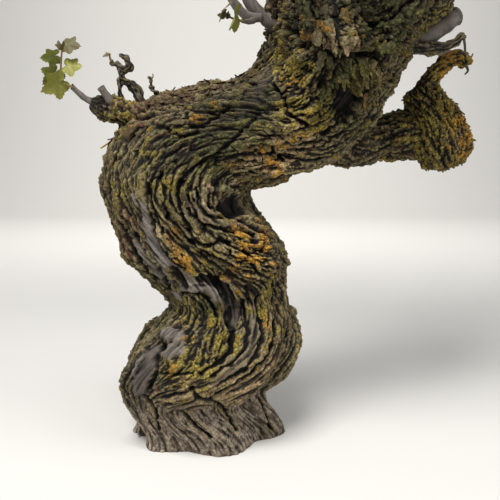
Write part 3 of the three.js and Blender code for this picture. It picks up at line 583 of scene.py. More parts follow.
@lru_cache(maxsize=None)
def seen(at):
    """The place in mm of a point given so, or of what the photo shows of the trunk at a column and row."""
    if len(at) == 3:
        return np.array(at, float)
    axes, scale, column, row, depth = photographed()
    away = np.hypot(column - at[0], row - at[1])
    near = away < SEEN["reach"]
    front = near & (depth < depth[near].min() + SEEN["deep"])
    far = np.average(depth[front], weights=np.exp(-(away[front] / SEEN["blur"]) ** 2))
    middle = CAMERA["pixels"] / 2
    sight = np.array([(at[0] - middle) / scale, (middle - at[1]) / scale, 1])
    return np.array(CAMERA["at"]) + far * sight @ axes


def closeness(place, at, reach):
    """How close points lie to a place: 1 at it, fading to 0 beyond its reach."""
    return np.exp(-np.sum((place - seen(at)) ** 2, axis=-1) / reach ** 2)


def patches(kind, place):
    """How strongly a tint's patches cover points, from 0 to about 1."""
    return np.max([strength * closeness(place, at, reach) for at, reach, strength in PATCHES[kind]], axis=0)


class Wall:
    """A limb's smooth wall: rings of points up the limb, each going round it, with directions along both."""

    def __init__(self, points):
        self.points = points
        ahead = np.roll(points, -1, axis=1) - np.roll(points, 1, axis=1)
        upward = np.gradient(points, axis=0)
        self.round_step = np.maximum(np.linalg.norm(ahead, axis=-1) / 2, 0.05)
        self.rise_step = np.maximum(np.linalg.norm(upward, axis=-1), 0.05)
        self.round_way = unit(ahead)
        self.rise_way = unit(upward)
        self.normal = unit(np.cross(self.round_way, self.rise_way))
        self.height = np.zeros(points.shape[:2])
        self.tints = {}

    def shown(self):
        """The wall with its bark raised."""
        return self.points + self.normal * self.height[..., None]


def grain_turn(wall, wander, lean):
    """How far the bark's grain turns from the run of the limb, in radians, at each point of a wall."""
    place = wall.points
    turn = lean + wander * noise(place, 70, 3)
    double = np.stack([np.cos(2 * turn), np.sin(2 * turn)])
    for at, degrees, reach in GRAIN:
        angle = 2 * math.radians(degrees)
        pull = np.array([math.cos(angle), math.sin(angle)])[:, None, None]
        double = double + 6 * closeness(place, at, reach) * pull
    for at, reach in WHORLS:
        across = np.cross(wall.normal, place - at)
        angle = 2 * np.arctan2(np.sum(across * wall.round_way, -1), np.sum(across * wall.rise_way, -1))
        weight = 8 * closeness(place, at, reach) * (1 - closeness(place, at, WHORL_EYE))
        double = double + weight * np.stack([np.cos(angle), np.sin(angle)])
    return 0.5 * np.arctan2(double[1], double[0])


def read_grid(field, k, a):
    """Values of a field on a wall's grid between its points. The grid closes on itself round the limb."""
    rows, cols = field.shape
    k = np.clip(k, 0, rows - 1.001)
    k0, a0 = k.astype(int), np.floor(a).astype(int)
    u, v = k - k0, a - a0
    left, right = a0 % cols, (a0 + 1) % cols
    low = field[k0, left] * (1 - v) + field[k0, right] * v
    high = field[k0 + 1, left] * (1 - v) + field[k0 + 1, right] * v
    return low * (1 - u) + high * u


def combed(wall, turn, fields, step=1.5):
    """Fields of noise smeared along the grain in steps. Each comes with how far it is smeared, in mm."""
    rows, cols = turn.shape
    across, up = np.sin(turn), np.cos(turn)
    start_k, start_a = np.meshgrid(np.arange(rows, dtype=float), np.arange(cols, dtype=float), indexing="ij")
    totals = [field.copy() for field, _ in fields]
    weights = [1.0] * len(fields)
    for sign in (1, -1):
        k, a = start_k.copy(), start_a.copy()
        last_across, last_up = sign * across, sign * up
        for n in range(1, int(max(reach for _, reach in fields) / step) + 1):
            i, j = np.clip(np.rint(k), 0, rows - 1).astype(int), np.rint(a).astype(int) % cols
            x, y = across[i, j], up[i, j]
            flip = np.where(x * last_across + y * last_up < 0, -1.0, 1.0)
            last_across, last_up = flip * x, flip * y
            a = a + last_across * step / wall.round_step[i, j]
            k = np.clip(k + last_up * step / wall.rise_step[i, j], 0, rows - 1)
            for m, (field, reach) in enumerate(fields):
                if n * step <= reach:
                    weight = 0.5 + 0.5 * math.cos(math.pi * n * step / (reach + step))
                    totals[m] += weight * read_grid(field, k, a)
                    weights[m] += weight
    out = []
    for total in totals:
        total = total - total.mean()
        out.append(total / max(total.std(), 1e-6))
    return out


def blurred(wall, field, reach):
    """A field averaged over about the given reach in mm."""
    rounds = max(1, int(round(reach / wall.round_step.mean())))
    rises = max(1, int(round(reach / wall.rise_step.mean())))
    out = field
    for _ in range(2):
        out = sum(np.roll(out, n, axis=1) for n in range(-rounds, rounds + 1)) / (2 * rounds + 1)
        padded = np.pad(out, ((rises, rises), (0, 0)), mode="edge")
        out = sum(padded[n:n + len(field)] for n in range(2 * rises + 1)) / (2 * rises + 1)
    return out


def terraced(value):
    """A smooth value as steps of one, with a short ramp up to each."""
    whole = np.floor(value)
    return whole + smoothstep(0.7, 1.0, value - whole)


def ragged(wall, field, size, reach, seed):
    """A field with its edges broken up: each value is read from up to a given reach away."""
    rows, cols = field.shape
    k, a = np.meshgrid(np.arange(rows, dtype=float), np.arange(cols, dtype=float), indexing="ij")
    k = k + reach * noise(wall.points, size, seed) / wall.rise_step
    a = a + reach * noise(wall.points, size, seed + 1) / wall.round_step
    return read_grid(field, k, a)


def how_broken(place):
    """How far the bark is broken up, from 0, long smooth strips, to 1, crumbs."""
    share = BROKEN + 0.25 * noise(place, 60, 40)
    for at, reach, more in BREAKS:
        share += more * closeness(place, at, reach)
    return np.clip(share, 0, 1)


def how_calm(place):
    """How much of the bark's relief is missing, where less than 0 is more relief."""
    calm = CALM_FOOT["share"] * smoothstep(*CALM_FOOT["height"], place[..., 2])
    for at, reach, more in CALM:
        calm = calm + more * closeness(place, at, reach)
    return np.clip(calm, *CALM_RANGE)


def bark_fields(wall, look, size, seed):
    """Noise combed along a wall's grain: cords, plates, shreds, slabs, fibres, flakes, crumbs and chips."""
    cord_width, cord_length = look.cord_width / MM * size, look.cord_length / MM * size
    width, length = look.plate_width / MM * size, look.plate_length / MM * size
    grains = (
        (cord_width * 0.8, cord_length * 0.4, 5),
        (width * 0.9, length * 0.5, 6),
        (width * 0.85, length * 0.22, 7),
        (width * 2.2, length * 0.4, 10),
        (look.fibre_width / MM, length * 0.3, 8),
        (width * 0.45, 9, 9),
        (4.6, 6, 17),
        (3.0, 3.5, 18),
    )
    return combed(wall, wall.turn, [(noise(wall.points, wide, seed + n), long) for wide, long, n in grains])


def drawn_marks(place, marks, seed):
    """What the marks do to a wall: how far they raise it, how bare they leave it and how light it is."""
    wobble = 0.3 * noise(place, 14, seed + 12) + 0.2 * noise(place, 6, seed + 13)
    swayed = place + 2.4 * np.stack([noise(place, 9, seed + n) for n in (41, 42, 43)], -1)
    drawn, bare, tone = (np.zeros(place.shape[:-1]) for _ in range(3))
    for line, half, out, bareness, lightness in marks.values():
        away = away_from_line(swayed, [seen(at) for at in line]) / half * (1 + wobble)
        drawn += out * np.exp(-away ** 4 * 0.7)
        cover = bareness * smoothstep(1.25, 0.85, away)
        tone = np.where(cover > bare, lightness, tone)
        bare = np.maximum(bare, cover)
        bare *= 1 - smoothstep(1.2, 0.9, away) * (bareness == 0)
    return drawn, bare, tone


def ridged(field, sharp):
    """A field as flat tops with narrow clefts where it crosses 0."""
    return 1 - np.exp(-np.abs(field) / sharp)


def raise_bark(wall, look, size=1.0, seed=0, wander=0.35, lean=0.0, marks=None, taper=1.0, broken=None):
    """Raises a limb's bark: cords and plates along the grain with clefts between them, then its marks."""
    place = wall.points
    wall.turn = grain_turn(wall, wander, lean)
    cord, plate, shred, slab, fibre, flake, crumb, chip = bark_fields(wall, look, size, seed)
    foot = np.exp(-np.maximum(place[..., 2], 0) / 60)
    broken = how_broken(place) if broken is None else np.full(cord.shape, broken)
    plates = mix(mix(plate, shred, broken), slab, 0.85 * smoothstep(0.25, 0.7, foot))
    plates = ragged(wall, plates / plates.std(), 8 * size, (1.2 + 4.5 * broken) * size, seed + 31)
    cord = ragged(wall, cord, 15, 3.5 * size, seed + 33)
    strip = place + np.floor(1.3 * plates)[..., None] * PLATE_SHIFT
    strip = strip + np.floor(0.8 * cord)[..., None] * CORD_SHIFT
    across, level, shade, hue = (
        noise(strip, wide * size, seed + n) for wide, n in ((13, 21), (17, 22), (12, 23), (26, 24)))
    drawn, bare, tone = drawn_marks(place, marks or {}, seed)
    calm = how_calm(place)

    crack = np.exp(-(ragged(wall, across, 7, 2.5, seed + 35) / 0.09) ** 2) * smoothstep(0.25, 0.85, broken)
    layers = 1.1 * plates + 0.7 * cord + 0.5 * noise(place, 22, seed + 11)
    plate_height = look.plate_height / MM * size
    height = look.cord_height / MM * size * (1 - 0.75 * foot) * (
        ridged(cord, 0.4) + 0.3 * np.tanh(1.5 * cord) - 0.65)
    height += plate_height * (1 - 0.45 * foot) * (ridged(plates, 0.16) - 0.78)
    height += plate_height * (0.4 + 0.6 * broken) * level - 0.8 * plate_height * crack
    height += look.layer_height / MM * size * (terraced(layers) - 0.6 * layers)
    height += plate_height * 0.34 * (ridged(flake, 0.3) + 0.35 * flake - 0.7)
    grit = np.tanh(crumb) + 0.5 * np.tanh(chip)
    height += look.grit_height / MM * (0.45 + 0.7 * broken) * grit * (1 - 0.4 * foot)
    fine = look.fibre_height / MM * np.clip(fibre, -2, 2) * (1 - 0.1 * bare) * (1 - 0.6 * foot)
    height = (height * (1 - calm) * (1 - 0.94 * bare) + fine + drawn) * taper
    wall.height = np.clip(height, *BARK_RANGE)

    near, wide = (height - blurred(wall, height, RELIEF[reach]) for reach in ("near", "wide"))
    # Painted shade: the cleft tint darkens the low places of the relief, the clefts between cords and
    # plates, the cracks, the deep bare hollows and the places under the painted shadow patches.
    clefts = 0.5 * (np.exp(-(plates / 0.16) ** 2) + np.exp(-(cord / 0.15) ** 2) + 0.8 * crack)
    clefts *= (1 - bare) * (1 - np.maximum(calm, 0))
    # Painted shadow: how strongly the shadow patches darken the bark, through the cleft shade and the light
    # tint.
    dark = patches("shadow", place)
    # Painted shade: the deepest bare hollows, whose tone is near 0, take the near-black cleft colour.
    deep = 0.8 * smoothstep(0.5, 0.95, bare) * (tone < 0.03)
    shut = -1.1 * near - 0.42 * wide + clefts + 0.6 * dark * (1 - bare)
    wall.tints = {
        "cleft": np.maximum(smoothstep(0.1, 1.8, shut), deep),
        # Painted highlight: the crest tint lightens the ridge tops of the relief.
        "crest": smoothstep(0.2, 1.6, near + 0.12 * wide),
        "streak": np.clip(0.5 + (0.2 + 0.2 * bare) * fibre + 0.1 * flake + 0.5 * shade * (1 - bare), 0, 1),
        "warm": np.clip(0.42 + 0.9 * hue, 0, 1),
        "bare": bare * taper,
        "tone": tone,
        "foot": foot,
    }
    # Painted light and shade: the light tint darkens the colour under the shadow patches and lightens it
    # under the glow patches, on proud places and in soft random patches.
    light = 0.5 * (patches("glow", place) - dark) + 0.14 * np.clip(wide / 2.5, -1, 1)
    light += (0.13 * noise(place, 18, seed + 44) + 0.08 * noise(place, 8, seed + 45)) * (1 - 0.6 * bare)
    wall.tints["light"] = np.clip(0.5 + light, 0, 1)
    proud = 0.35 * np.clip(wide / 3, -1, 1) + 0.2 * np.tanh(plates) + 0.25 * level
    wall.tints.update(lichens(place, proud, bare, seed))


def lichens(place, proud, bare, seed):
    """How much of each lichen and stain lies on points, on its patches and as flecks: more where proud."""
    spotty = sum(share * noise(place, wide, seed + n) for share, wide, n in LICHEN_NOISE)
    clean = (1 - 0.92 * bare) * (1 - smoothstep(70, 30, place[..., 2]))
    tints = {}
    for kind, (base, spread, flecks) in LICHENS.items():
        cover = 1.3 * patches(kind, place) + spread * spotty + 1.1 * proud + base
        fleck = flecks * smoothstep(0.62, 0.95, spotty + proud)
        tints[kind] = np.maximum(smoothstep(0, 0.3, cover), fleck) * clean
    return tints


@lru_cache(maxsize=None)
def winding_ribs():
    """The ribs of every stretch: low and high end, the angles each winds between, half width and height."""
    chance = seeded(RIBS["seed"])
    ribs = []
    for n, (low, high) in enumerate(RIBS["stretches"]):
        for k in range(RIBS["around"]):
            start = (k + 0.5 * n + 0.4 * (chance() - 0.5)) * 360 / RIBS["around"]
            end = start + mix(*RIBS["wind"], chance())
            ribs.append((low, high, start, end, mix(*RIBS["half"], chance()), mix(*RIBS["out"], chance())))
    return ribs


def degrees_apart(a, b):
    """Degrees from one angle to another, the short way round."""
    return (a - b + 540) % 360 - 180


def rib_relief(angle, t, radius):
    """How far the ribs stand out round the trunk."""
    here = np.degrees(angle)
    out = np.full((len(t), len(angle)), -float(RIBS["between"]))
    for low, high, start, end, half, height in winding_ribs():
        u = (t - low) / (high - low)
        away = np.radians(degrees_apart(here, mix(start, end, u))) * radius / half
        fade = smoothstep(0, RIBS["fade"], u) * smoothstep(0, RIBS["fade"], 1 - u)
        out += height * fade * np.exp(-away ** 2)
    front = RIBS["front"]
    from_front = degrees_apart(here, front["at"]) / front["reach"]
    shown = 1 - front["less"] * np.exp(-from_front ** 2) * smoothstep(0, 0.1, front["below"] - t)
    return out * shown * smoothstep(0, RIBS["top"], 1 - t)


@lru_cache(maxsize=None)
def trunk_points(count, around):
    """The trunk's smooth wall: its sections, ridges, root flare and swellings."""
    fine = np.linspace(0, 1, 2001)
    middle = along(TRUNK, fine)[:, :3]
    run = np.concatenate([[0], np.cumsum(np.linalg.norm(np.diff(middle, axis=0), axis=1))])
    t = np.interp(np.linspace(0, run[-1], count), run, fine)
    rows = along(TRUNK, t)
    middle, lean, wide, deep = rows[:, :3], np.radians(rows[:, 3]), rows[:, 4], rows[:, 5]
    middle[0, 2] = 0
    angle = np.arange(around) * TAU / around
    side = np.stack([np.cos(lean), 0 * lean, -np.sin(lean)], -1)[:, None]
    back = np.array([0.0, 1.0, 0.0])
    out_way = side * np.cos(angle)[None, :, None] + back * np.sin(angle)[None, :, None]
    place = middle[:, None] + side * (wide[:, None] * np.cos(angle))[..., None]
    place = place + back * (deep[:, None] * np.sin(angle))[..., None]
    radius = (wide + deep)[:, None] / 2
    out = np.zeros(place.shape[:2])
    for ridges, wind, height, start in RIDGES:
        out += radius * height * np.sin(ridges * angle + wind * TAU * t[:, None] + start)
    flare = np.cos(ROOTS["count"] * angle + ROOTS["start"])
    out += radius * ROOTS["height"] * np.exp(-place[..., 2] / ROOTS["fade"]) * flare
    for at, reach, height in SWELLINGS.values():
        out += height * closeness(place, at, reach)
    out += rib_relief(angle, t[:, None], radius)
    return place + out_way * out[..., None]


def limb_points(line, radius, count, around, push):
    """The wall of a limb round a line: rings square to it, each turned as little as can be from the last."""
    t = np.linspace(0, 1, count)
    middle = along(line, t)
    way = unit(np.gradient(middle, axis=0))
    side = np.array([1.0, 0.2, 0.0])
    angle = np.arange(around) * TAU / around
    rings = []
    for k in range(count):
        side = unit(side - way[k] * (side @ way[k]))
        back = np.cross(way[k], side)
        out_way = side * np.cos(angle)[:, None] + back * np.sin(angle)[:, None]
        ring = middle[k] + out_way * radius(t[k])
        rings.append(ring + out_way * push(ring, radius(t[k]))[:, None])
    return np.array(rings)


def lumps(share, least=0):
    """A rule for the lumps of an old limb's wall, by a share of its radius or a height in mm."""
    def push(place, radius):
        x, y, z = place[..., 0], place[..., 1], place[..., 2]
        long = np.sin(x / 11 + z / 17) * np.sin(y / 13 + 1)
        short = np.sin(z / 12 + y / 9) * np.sin(x / 15 + 2)
        return (least + share * radius) * (long + short)

    return push


def zigzag(arm, seed):
    """The middle line of an arm that rises from the head, turning to one side and the other as it goes."""
    chance = seeded(seed)
    at = np.array(arm["root"], float)
    line = [at.tolist()]
    for n in range(ZIGZAG["steps"]):
        turn = math.radians(arm["heading"] + (1 if n % 2 else -1) * mix(*ZIGZAG["turn"], chance()))
        lean = mix(*arm["tilt"], n / (ZIGZAG["steps"] - 1)) + ZIGZAG["lean"] * (2 * chance() - 1)
        lean = math.radians(lean)
        stride = arm["length"] / ZIGZAG["steps"] * mix(*ZIGZAG["stride"], chance())
        way = (math.sin(lean) * math.cos(turn), math.sin(lean) * math.sin(turn), math.cos(lean))
        at = at + stride * np.array(way)
        line.append(at.tolist())
    return line


@lru_cache(maxsize=None)
def all_arms():
    """Each arm with its middle line, radii, knuckles and spurs."""
    arms = {name: dict(arm) for name, arm in LOW_ARMS.items()}
    for n, (name, values) in enumerate(TOP_ARMS.items()):
        arm = dict(zip(TOP_ARM_VALUES, values))
        radius = (arm["thick"], arm["thick"] * TOP_ARM["tip"])
        line = zigzag(arm, SEEDS["zigzag"] + n)
        arms[name] = {**arm, "radius": radius, "knuckles": TOP_ARM["knuckles"], "line": line}
    return arms


def arm_radius(arm, seed):
    """An arm's radius along it: its taper, the knuckles of old cuts and a blunt tip."""
    chance = seeded(seed)
    knuckles = []
    for n in range(arm["knuckles"]):
        t = (n + 0.55 + 0.4 * chance()) / arm["knuckles"]
        knuckles.append((t, 0.16 + 0.2 * chance(), 0.35 / arm["knuckles"]))

    def radius(t):
        size = mix(*arm["radius"], t ** 0.8)
        for at, swell, half in knuckles:
            size *= 1 + swell * math.exp(-(((t - at) / half) ** 2))
        return size * (1 - 0.4 * smoothstep(0.94, 1, t))

    return radius


def spur_radius(t):
    return mix(*SPUR["radius"], t) * (1 + 0.22 * math.cos(TAU * 2 * t) ** 4)


def cane_radius(radii):
    """A rule for the radius of an old cane, which is thicker at its joints."""
    return lambda t: mix(*radii, t) * (1 + 0.16 * math.cos(TAU * 1.5 * t) ** 6)


@lru_cache(maxsize=None)
def pruned_spurs():
    """The pruned spurs of the arms: one goes on from the tip of each, and the others leave it lower down."""
    spurs = {}
    for m, name in enumerate(TOP_ARMS):
        arm = all_arms()[name]
        seed = SEEDS["spur"] + m
        chance = seeded(seed)
        for n in range(arm["spurs"]):
            t = 0.99 if n == 0 else mix(SPUR["low"], 0.95, (n - 1) / 2 + 0.3 * chance())
            root = along(arm["line"], t)
            turn = TAU * ((n + 0.25 * chance()) / arm["spurs"] + seed / 7)
            spread = 0.25 if n == 0 else SPUR["spread"]
            way = unit(np.array([math.cos(turn) * spread, math.sin(turn) * spread, 1]))
            length = mix(*SPUR["length"], chance()) + (0 if n == 0 else mix(*arm["radius"], t))
            tip = root + way * length + UP * length * 0.12
            spurs[f"{name}_spur_{n + 1}"] = [root.tolist(), (root + way * length / 2).tolist(), tip.tolist()]
    return spurs


def closed_grid(points, low_end, high_end):
    """Corners and faces of a wall whose ends are closed by a fan round a middle point."""
    rows, cols = points.shape[:2]
    corners = np.concatenate([points.reshape(-1, 3), [low_end, high_end]])
    k, a = np.meshgrid(np.arange(rows - 1), np.arange(cols), indexing="ij")
    b = (a + 1) % cols
    quads = np.stack([k * cols + a, k * cols + b, (k + 1) * cols + b, (k + 1) * cols + a], -1).reshape(-1, 4)
    ring, after = np.arange(cols), (np.arange(cols) + 1) % cols
    low = np.stack([after, ring, np.full(cols, rows * cols)], -1)
    top = (rows - 1) * cols
    high = np.stack([top + ring, top + after, np.full(cols, rows * cols + 1)], -1)
    return corners, [quads, np.concatenate([low, high])]


def new_mesh(name, corners, faces, tints=None, smooth=True):
    """A mesh object at the origin from corners in mm, arrays of faces and its point attributes."""
    mesh = bpy.data.meshes.new(name)
    counts = np.concatenate([np.full(len(f), f.shape[1]) for f in faces])
    loops = np.concatenate([f.ravel() for f in faces])
    mesh.vertices.add(len(corners))
    mesh.vertices.foreach_set("co", (np.asarray(corners) * MM).astype(np.float32).ravel())
    mesh.loops.add(len(loops))
    mesh.loops.foreach_set("vertex_index", loops.astype(np.int32))
    mesh.polygons.add(len(counts))
    mesh.polygons.foreach_set("loop_start", (np.cumsum(counts) - counts).astype(np.int32))
    mesh.polygons.foreach_set("use_smooth", np.full(len(counts), smooth))
    for key, values in (tints or {}).items():
        mesh.attributes.new(key, "FLOAT", "POINT").data.foreach_set("value", np.asarray(values, np.float32))
    mesh.update(calc_edges=True)
    mesh.validate()
    piece = bpy.data.objects.new(name, mesh)
    bpy.context.scene.collection.objects.link(piece)
    return piece


def wall_piece(name, wall, first=0, last=None):
    """The stretch of a wall from one ring to another, as a closed mesh."""
    last = len(wall.points) - 1 if last is None else last
    shown = wall.shown()[first:last + 1]
    shown[..., 2] = np.maximum(shown[..., 2], 0)
    low_end, high_end = shown[0].mean(axis=0), shown[-1].mean(axis=0)
    if first == 0 and abs(shown[0, :, 2].max()) < 1:
        low_end[2] = 0
    tints = {}
    for key, values in wall.tints.items():
        part = values[first:last + 1]
        tints[key] = np.concatenate([part.ravel(), [part[0].mean(), part[-1].mean()]])
    return new_mesh(name, *closed_grid(shown, low_end, high_end), tints)


# How many rings each wall has, and points round it, and the rings where the trunk's pieces meet.
TRUNK_GRID = (661, 448)
TRUNK_PIECES = {"trunk_foot": (0, 220), "trunk_elbow": (220, 440), "trunk_head": (440, 660)}
ARM_GRID = (150, 84)
KNOB_GRID = (110, 150)
STUB_GRID = (70, 36)


@lru_cache(maxsize=None)
def trunk_wall():
    wall = Wall(trunk_points(*TRUNK_GRID))
    rings = np.arange(TRUNK_GRID[0])[:, None]
    taper = smoothstep(0, 40, TRUNK_GRID[0] - 1 - rings) * np.ones((1, TRUNK_GRID[1]))
    raise_bark(wall, bpy.context.scene.vine_bark, lean=0.2, marks=MARKS, taper=taper)
    wall.normal[..., 2] *= smoothstep(0, 6, rings * 1.4)
    return wall


@lru_cache(maxsize=None)
def arm_wall(name):
    arm, n = all_arms()[name], list(all_arms()).index(name)
    rings, around = ARM_GRID
    radius = arm_radius(arm, SEEDS["knuckles"] + n)
    wall = Wall(limb_points(arm["line"], radius, rings, around, lumps(0.09)))
    taper = mix(0.5, 1.0, smoothstep(1, 0.8, np.linspace(0, 1, rings)))[:, None] * np.ones((1, around))
    raise_bark(wall, bpy.context.scene.vine_bark, size=0.62, seed=SEEDS["arm_bark"] + n, taper=taper,
               broken=0.5, marks=ARM_MARKS.get(name))
    return wall


@lru_cache(maxsize=None)
def spur_wall(name):
    """The wall of an old stub of dead or lichened wood."""
    line, radii, _ = OLD_SPURS[name]

    def radius(t):
        return mix(*radii, t) * (1 - 0.6 * smoothstep(0.95, 1, t))

    wall = Wall(limb_points(line, radius, *STUB_GRID, lumps(0.08)))
    size, seed = 0.028 * max(radii) + 0.06, SEEDS["stub_bark"] + len(name)
    raise_bark(wall, bpy.context.scene.vine_bark, size=size, seed=seed, wander=0.6, broken=0.3)
    return wall


@lru_cache(maxsize=None)
def knob_wall():
    def radius(t):
        size = mix(*KNOB["radius"], t) + KNOB["belly"] * math.sin(math.pi * t ** 1.4)
        return size * (1 - 0.38 * smoothstep(0.86, 1, t)) * (1 - 0.38 * smoothstep(0.14, 0, t))

    wall = Wall(limb_points(KNOB["line"], radius, *KNOB_GRID, lumps(0, 2)))
    raise_bark(wall, bpy.context.scene.vine_bark, size=0.55, seed=SEEDS["knob_bark"], wander=1.2,
               broken=1.0)
    return wall


def linear(code):
    """An sRGB hex colour as the linear colour that shaders take."""
    values = [int(code[n:n + 2], 16) / 255 for n in (1, 3, 5)]
    return (*[v / 12.92 if v <= 0.04045 else ((v + 0.055) / 1.055) ** 2.4 for v in values], 1.0)


def node(tree, kind, inputs=(), out=0, **settings):
    """Adds a shader node with its settings and links, and returns one of its outputs.

    Inputs go by name or number, or in the node's own order: values, or other nodes' outputs to link.
    """
    made = tree.nodes.new("ShaderNode" + kind)
    for key, value in settings.items():
        setattr(made, key, value)
    for key, value in inputs.items() if isinstance(inputs, dict) else enumerate(inputs):
        if isinstance(value, bpy.types.NodeSocket):
            tree.links.new(value, made.inputs[key])
        else:
            made.inputs[key].default_value = value
    return made.outputs[out] if made.outputs else None


def painted(tree, colour, *coats):
    """A colour with coats over it, from the lowest up: how much each covers, and its colour."""
    for cover, coat in coats:
        colour = node(tree, "Mix", {0: cover, 6: colour, 7: coat}, out=2, data_type="RGBA")
    return colour


def shown(tree, name, *span):
    """How much of one of the mesh's tints shows, read from one range and stretched to another."""
    return node(tree, "MapRange", (node(tree, "Attribute", out="Fac", attribute_name=name), *span))


def new_material(name):
    """A material without nodes, and its tree."""
    material = bpy.data.materials.new(name)
    material.use_nodes = True
    material.node_tree.nodes.clear()
    return material, material.node_tree


def finished(material, inputs):
    """A material whose surface has these inputs."""
    tree = material.node_tree
    node(tree, "OutputMaterial", {"Surface": node(tree, "BsdfPrincipled", inputs)}, target="ALL")
    return material


def spots(tree, size_mm, detail=3.0, rough=0.6):
    """Noise in the plant's own space, with features of about the given size."""
    inputs = {"Vector": node(tree, "TexCoord", out="Object"), "Scale": 1 / (size_mm * MM)}
    return node(tree, "TexNoise", {**inputs, "Detail": detail, "Roughness": rough})


def crackle(tree, size_mm):
    """How far points lie from the cracks between small crumbs of bark, with wavering edges."""
    place, finer = node(tree, "TexCoord", out="Object"), 1 / (size_mm * 0.6 * MM)
    waver = node(tree, "TexNoise", {"Vector": place, "Scale": finer, "Detail": 2}, out="Color")
    shift = node(tree, "VectorMath", (waver, (size_mm * 0.8 * MM,) * 3), operation="MULTIPLY")
    moved = node(tree, "VectorMath", (place, shift), operation="ADD")
    inputs = {"Vector": moved, "Scale": 1 / (size_mm * MM)}
    return node(tree, "TexVoronoi", inputs, out="Distance", feature="DISTANCE_TO_EDGE")


@lru_cache(maxsize=None)
def bark_material():
    # Old grapevine bark: dry cork and bast fibres in layers, matt, grey where weathered and brown where it
    # is fresh. Crustose lichen sits on it as powdery matt spots.
    # Painted light and shade are laid into its colour: shade in the clefts, hollows and fine cracks, a
    # highlight on the ridge tops, and patches of painted light and shadow.
    look = bpy.context.scene.vine_bark
    material, tree = new_material("old_vine_bark")
    grit = spots(tree, 2.4, detail=4, rough=0.65)
    cracks = crackle(tree, 7)
    powder = node(tree, "MapRange", (grit, 0.35, 0.65))
    grain = shown(tree, "streak", 0.15, 0.85)
    tone = shown(tree, "tone")

    def grained(low, high, by=grain):
        return painted(tree, low, (by, high))

    bare_low = grained(look.bare_dark_and_hollow_shade, linear("#6E675F"), tone)
    bare_high = grained(linear("#4B423A"), look.bare_light, tone)
    colour = painted(
        tree, grained(look.bark_dark, look.bark_mid),
        (shown(tree, "warm", 0.45, 0.75), grained(look.bark_dark, look.bark_warm)),
        (shown(tree, "foot", 0.18, 0.5), grained(look.foot_dark, look.foot_light)),
        (shown(tree, "red"), grained(linear("#33190F"), linear("#6E4330"))),
        (shown(tree, "pink"), grained(linear("#5C4632"), linear("#C2A47E"))),
        # Painted highlight on the ridge tops.
        (shown(tree, "crest", 0.1, 1, 0, 0.75), look.bark_highlight),
        (shown(tree, "bare"), grained(bare_low, bare_high, shown(tree, "streak", 0.25, 0.75))),
        (shown(tree, "moss", 0, 1, 0, 0.75), grained(linear("#25270F"), linear("#676A2E"), powder)),
        (shown(tree, "mustard", 0, 1, 0, 0.9), grained(linear("#5A4F1E"), look.mustard, powder)),
        (shown(tree, "orange", 0, 1, 0, 0.92), grained(linear("#76521E"), look.orange, powder)),
    )
    # Random mottling, and painted shade in the fine cracks between the crumbs of bark: less on bare wood.
    rubbed = node(tree, "MapRange", (grit, 0.3, 0.7, 0.6, 1.25))
    cracked = node(tree, "MapRange", (cracks, 0, 0.16, 0.45, 1))
    mottle_and_crack_shade = node(tree, "Math", (rubbed, cracked), operation="MULTIPLY")
    mottled_and_crack_shaded = node(tree, "VectorMath", {0: colour, "Scale": mottle_and_crack_shade}, operation="SCALE")
    colour = painted(tree, colour, (shown(tree, "bare", 0, 1, 1, 0.35), mottled_and_crack_shaded))
    # Painted light and shade: the light tint scales the colour from 0.38 to 1.5 times.
    light = shown(tree, "light", 0, 1, 0.38, 1.5)
    colour = node(tree, "VectorMath", {0: colour, "Scale": light}, operation="SCALE")
    # Painted shade: a near-black colour laid into the clefts and hollows.
    colour = painted(tree, colour, (shown(tree, "cleft"), look.cleft))
    coarse = node(tree, "Bump", {"Height": cracks, "Distance": 1.2 * MM, "Strength": 0.5})
    fine = node(tree, "Bump", {"Height": spots(tree, 1.8, detail=5, rough=0.7), "Distance": 0.9 * MM,
                               "Strength": 0.9, "Normal": coarse})
    return finished(material, {"Base Color": colour, "Roughness": 0.92, "IOR": 1.42, "Normal": fine})


def look_at(way):
    """The turn that points an object's own Z along a direction."""
    return Vector(way).to_track_quat("Z", "Y").to_euler()


def grown_cane(name, line, radius, sides=16, rings=14):
    """A cane modelled as it grows: a disc at its root is extruded, turned and thinned from ring to ring."""
    t = np.linspace(0, 1, rings + 1)
    middles = along(line, t)
    ways = unit(np.gradient(middles, axis=0))
    middles = middles * MM
    bpy.ops.object.select_all(action="DESELECT")
    bpy.ops.mesh.primitive_circle_add(vertices=sides, radius=radius(0) * MM, fill_type="NGON",
                                      location=middles[0], rotation=look_at(ways[0]))
    piece = bpy.context.object
    piece.name = name
    bpy.ops.object.transform_apply(location=True, rotation=True, scale=True)
    bpy.ops.object.mode_set(mode="EDIT")
    bpy.ops.mesh.select_all(action="SELECT")
    for k in range(1, rings + 1):
        bpy.ops.mesh.extrude_region_move(TRANSFORM_OT_translate={"value": middles[k] - middles[k - 1]})
        axis = np.cross(ways[k - 1], ways[k])
        angle = math.asin(min(1, np.linalg.norm(axis)))
        if angle > 1e-4:
            turned = Vector(axis).to_track_quat("Z", "Y").to_matrix()
            bpy.ops.transform.rotate(value=-angle, orient_axis="Z", orient_matrix=turned.transposed(),
                                     orient_matrix_type="GLOBAL", center_override=middles[k])
        thinner = radius(t[k]) / radius(t[k - 1])
        bpy.ops.transform.resize(value=(thinner,) * 3, center_override=middles[k])
    for share, depth in CUT_END:
        bpy.ops.mesh.inset(thickness=radius(1) * MM * share, depth=-depth * MM)
    bpy.ops.mesh.select_all(action="SELECT")
    bpy.ops.mesh.normals_make_consistent(inside=False)
    bpy.ops.object.mode_set(mode="OBJECT")
    return piece


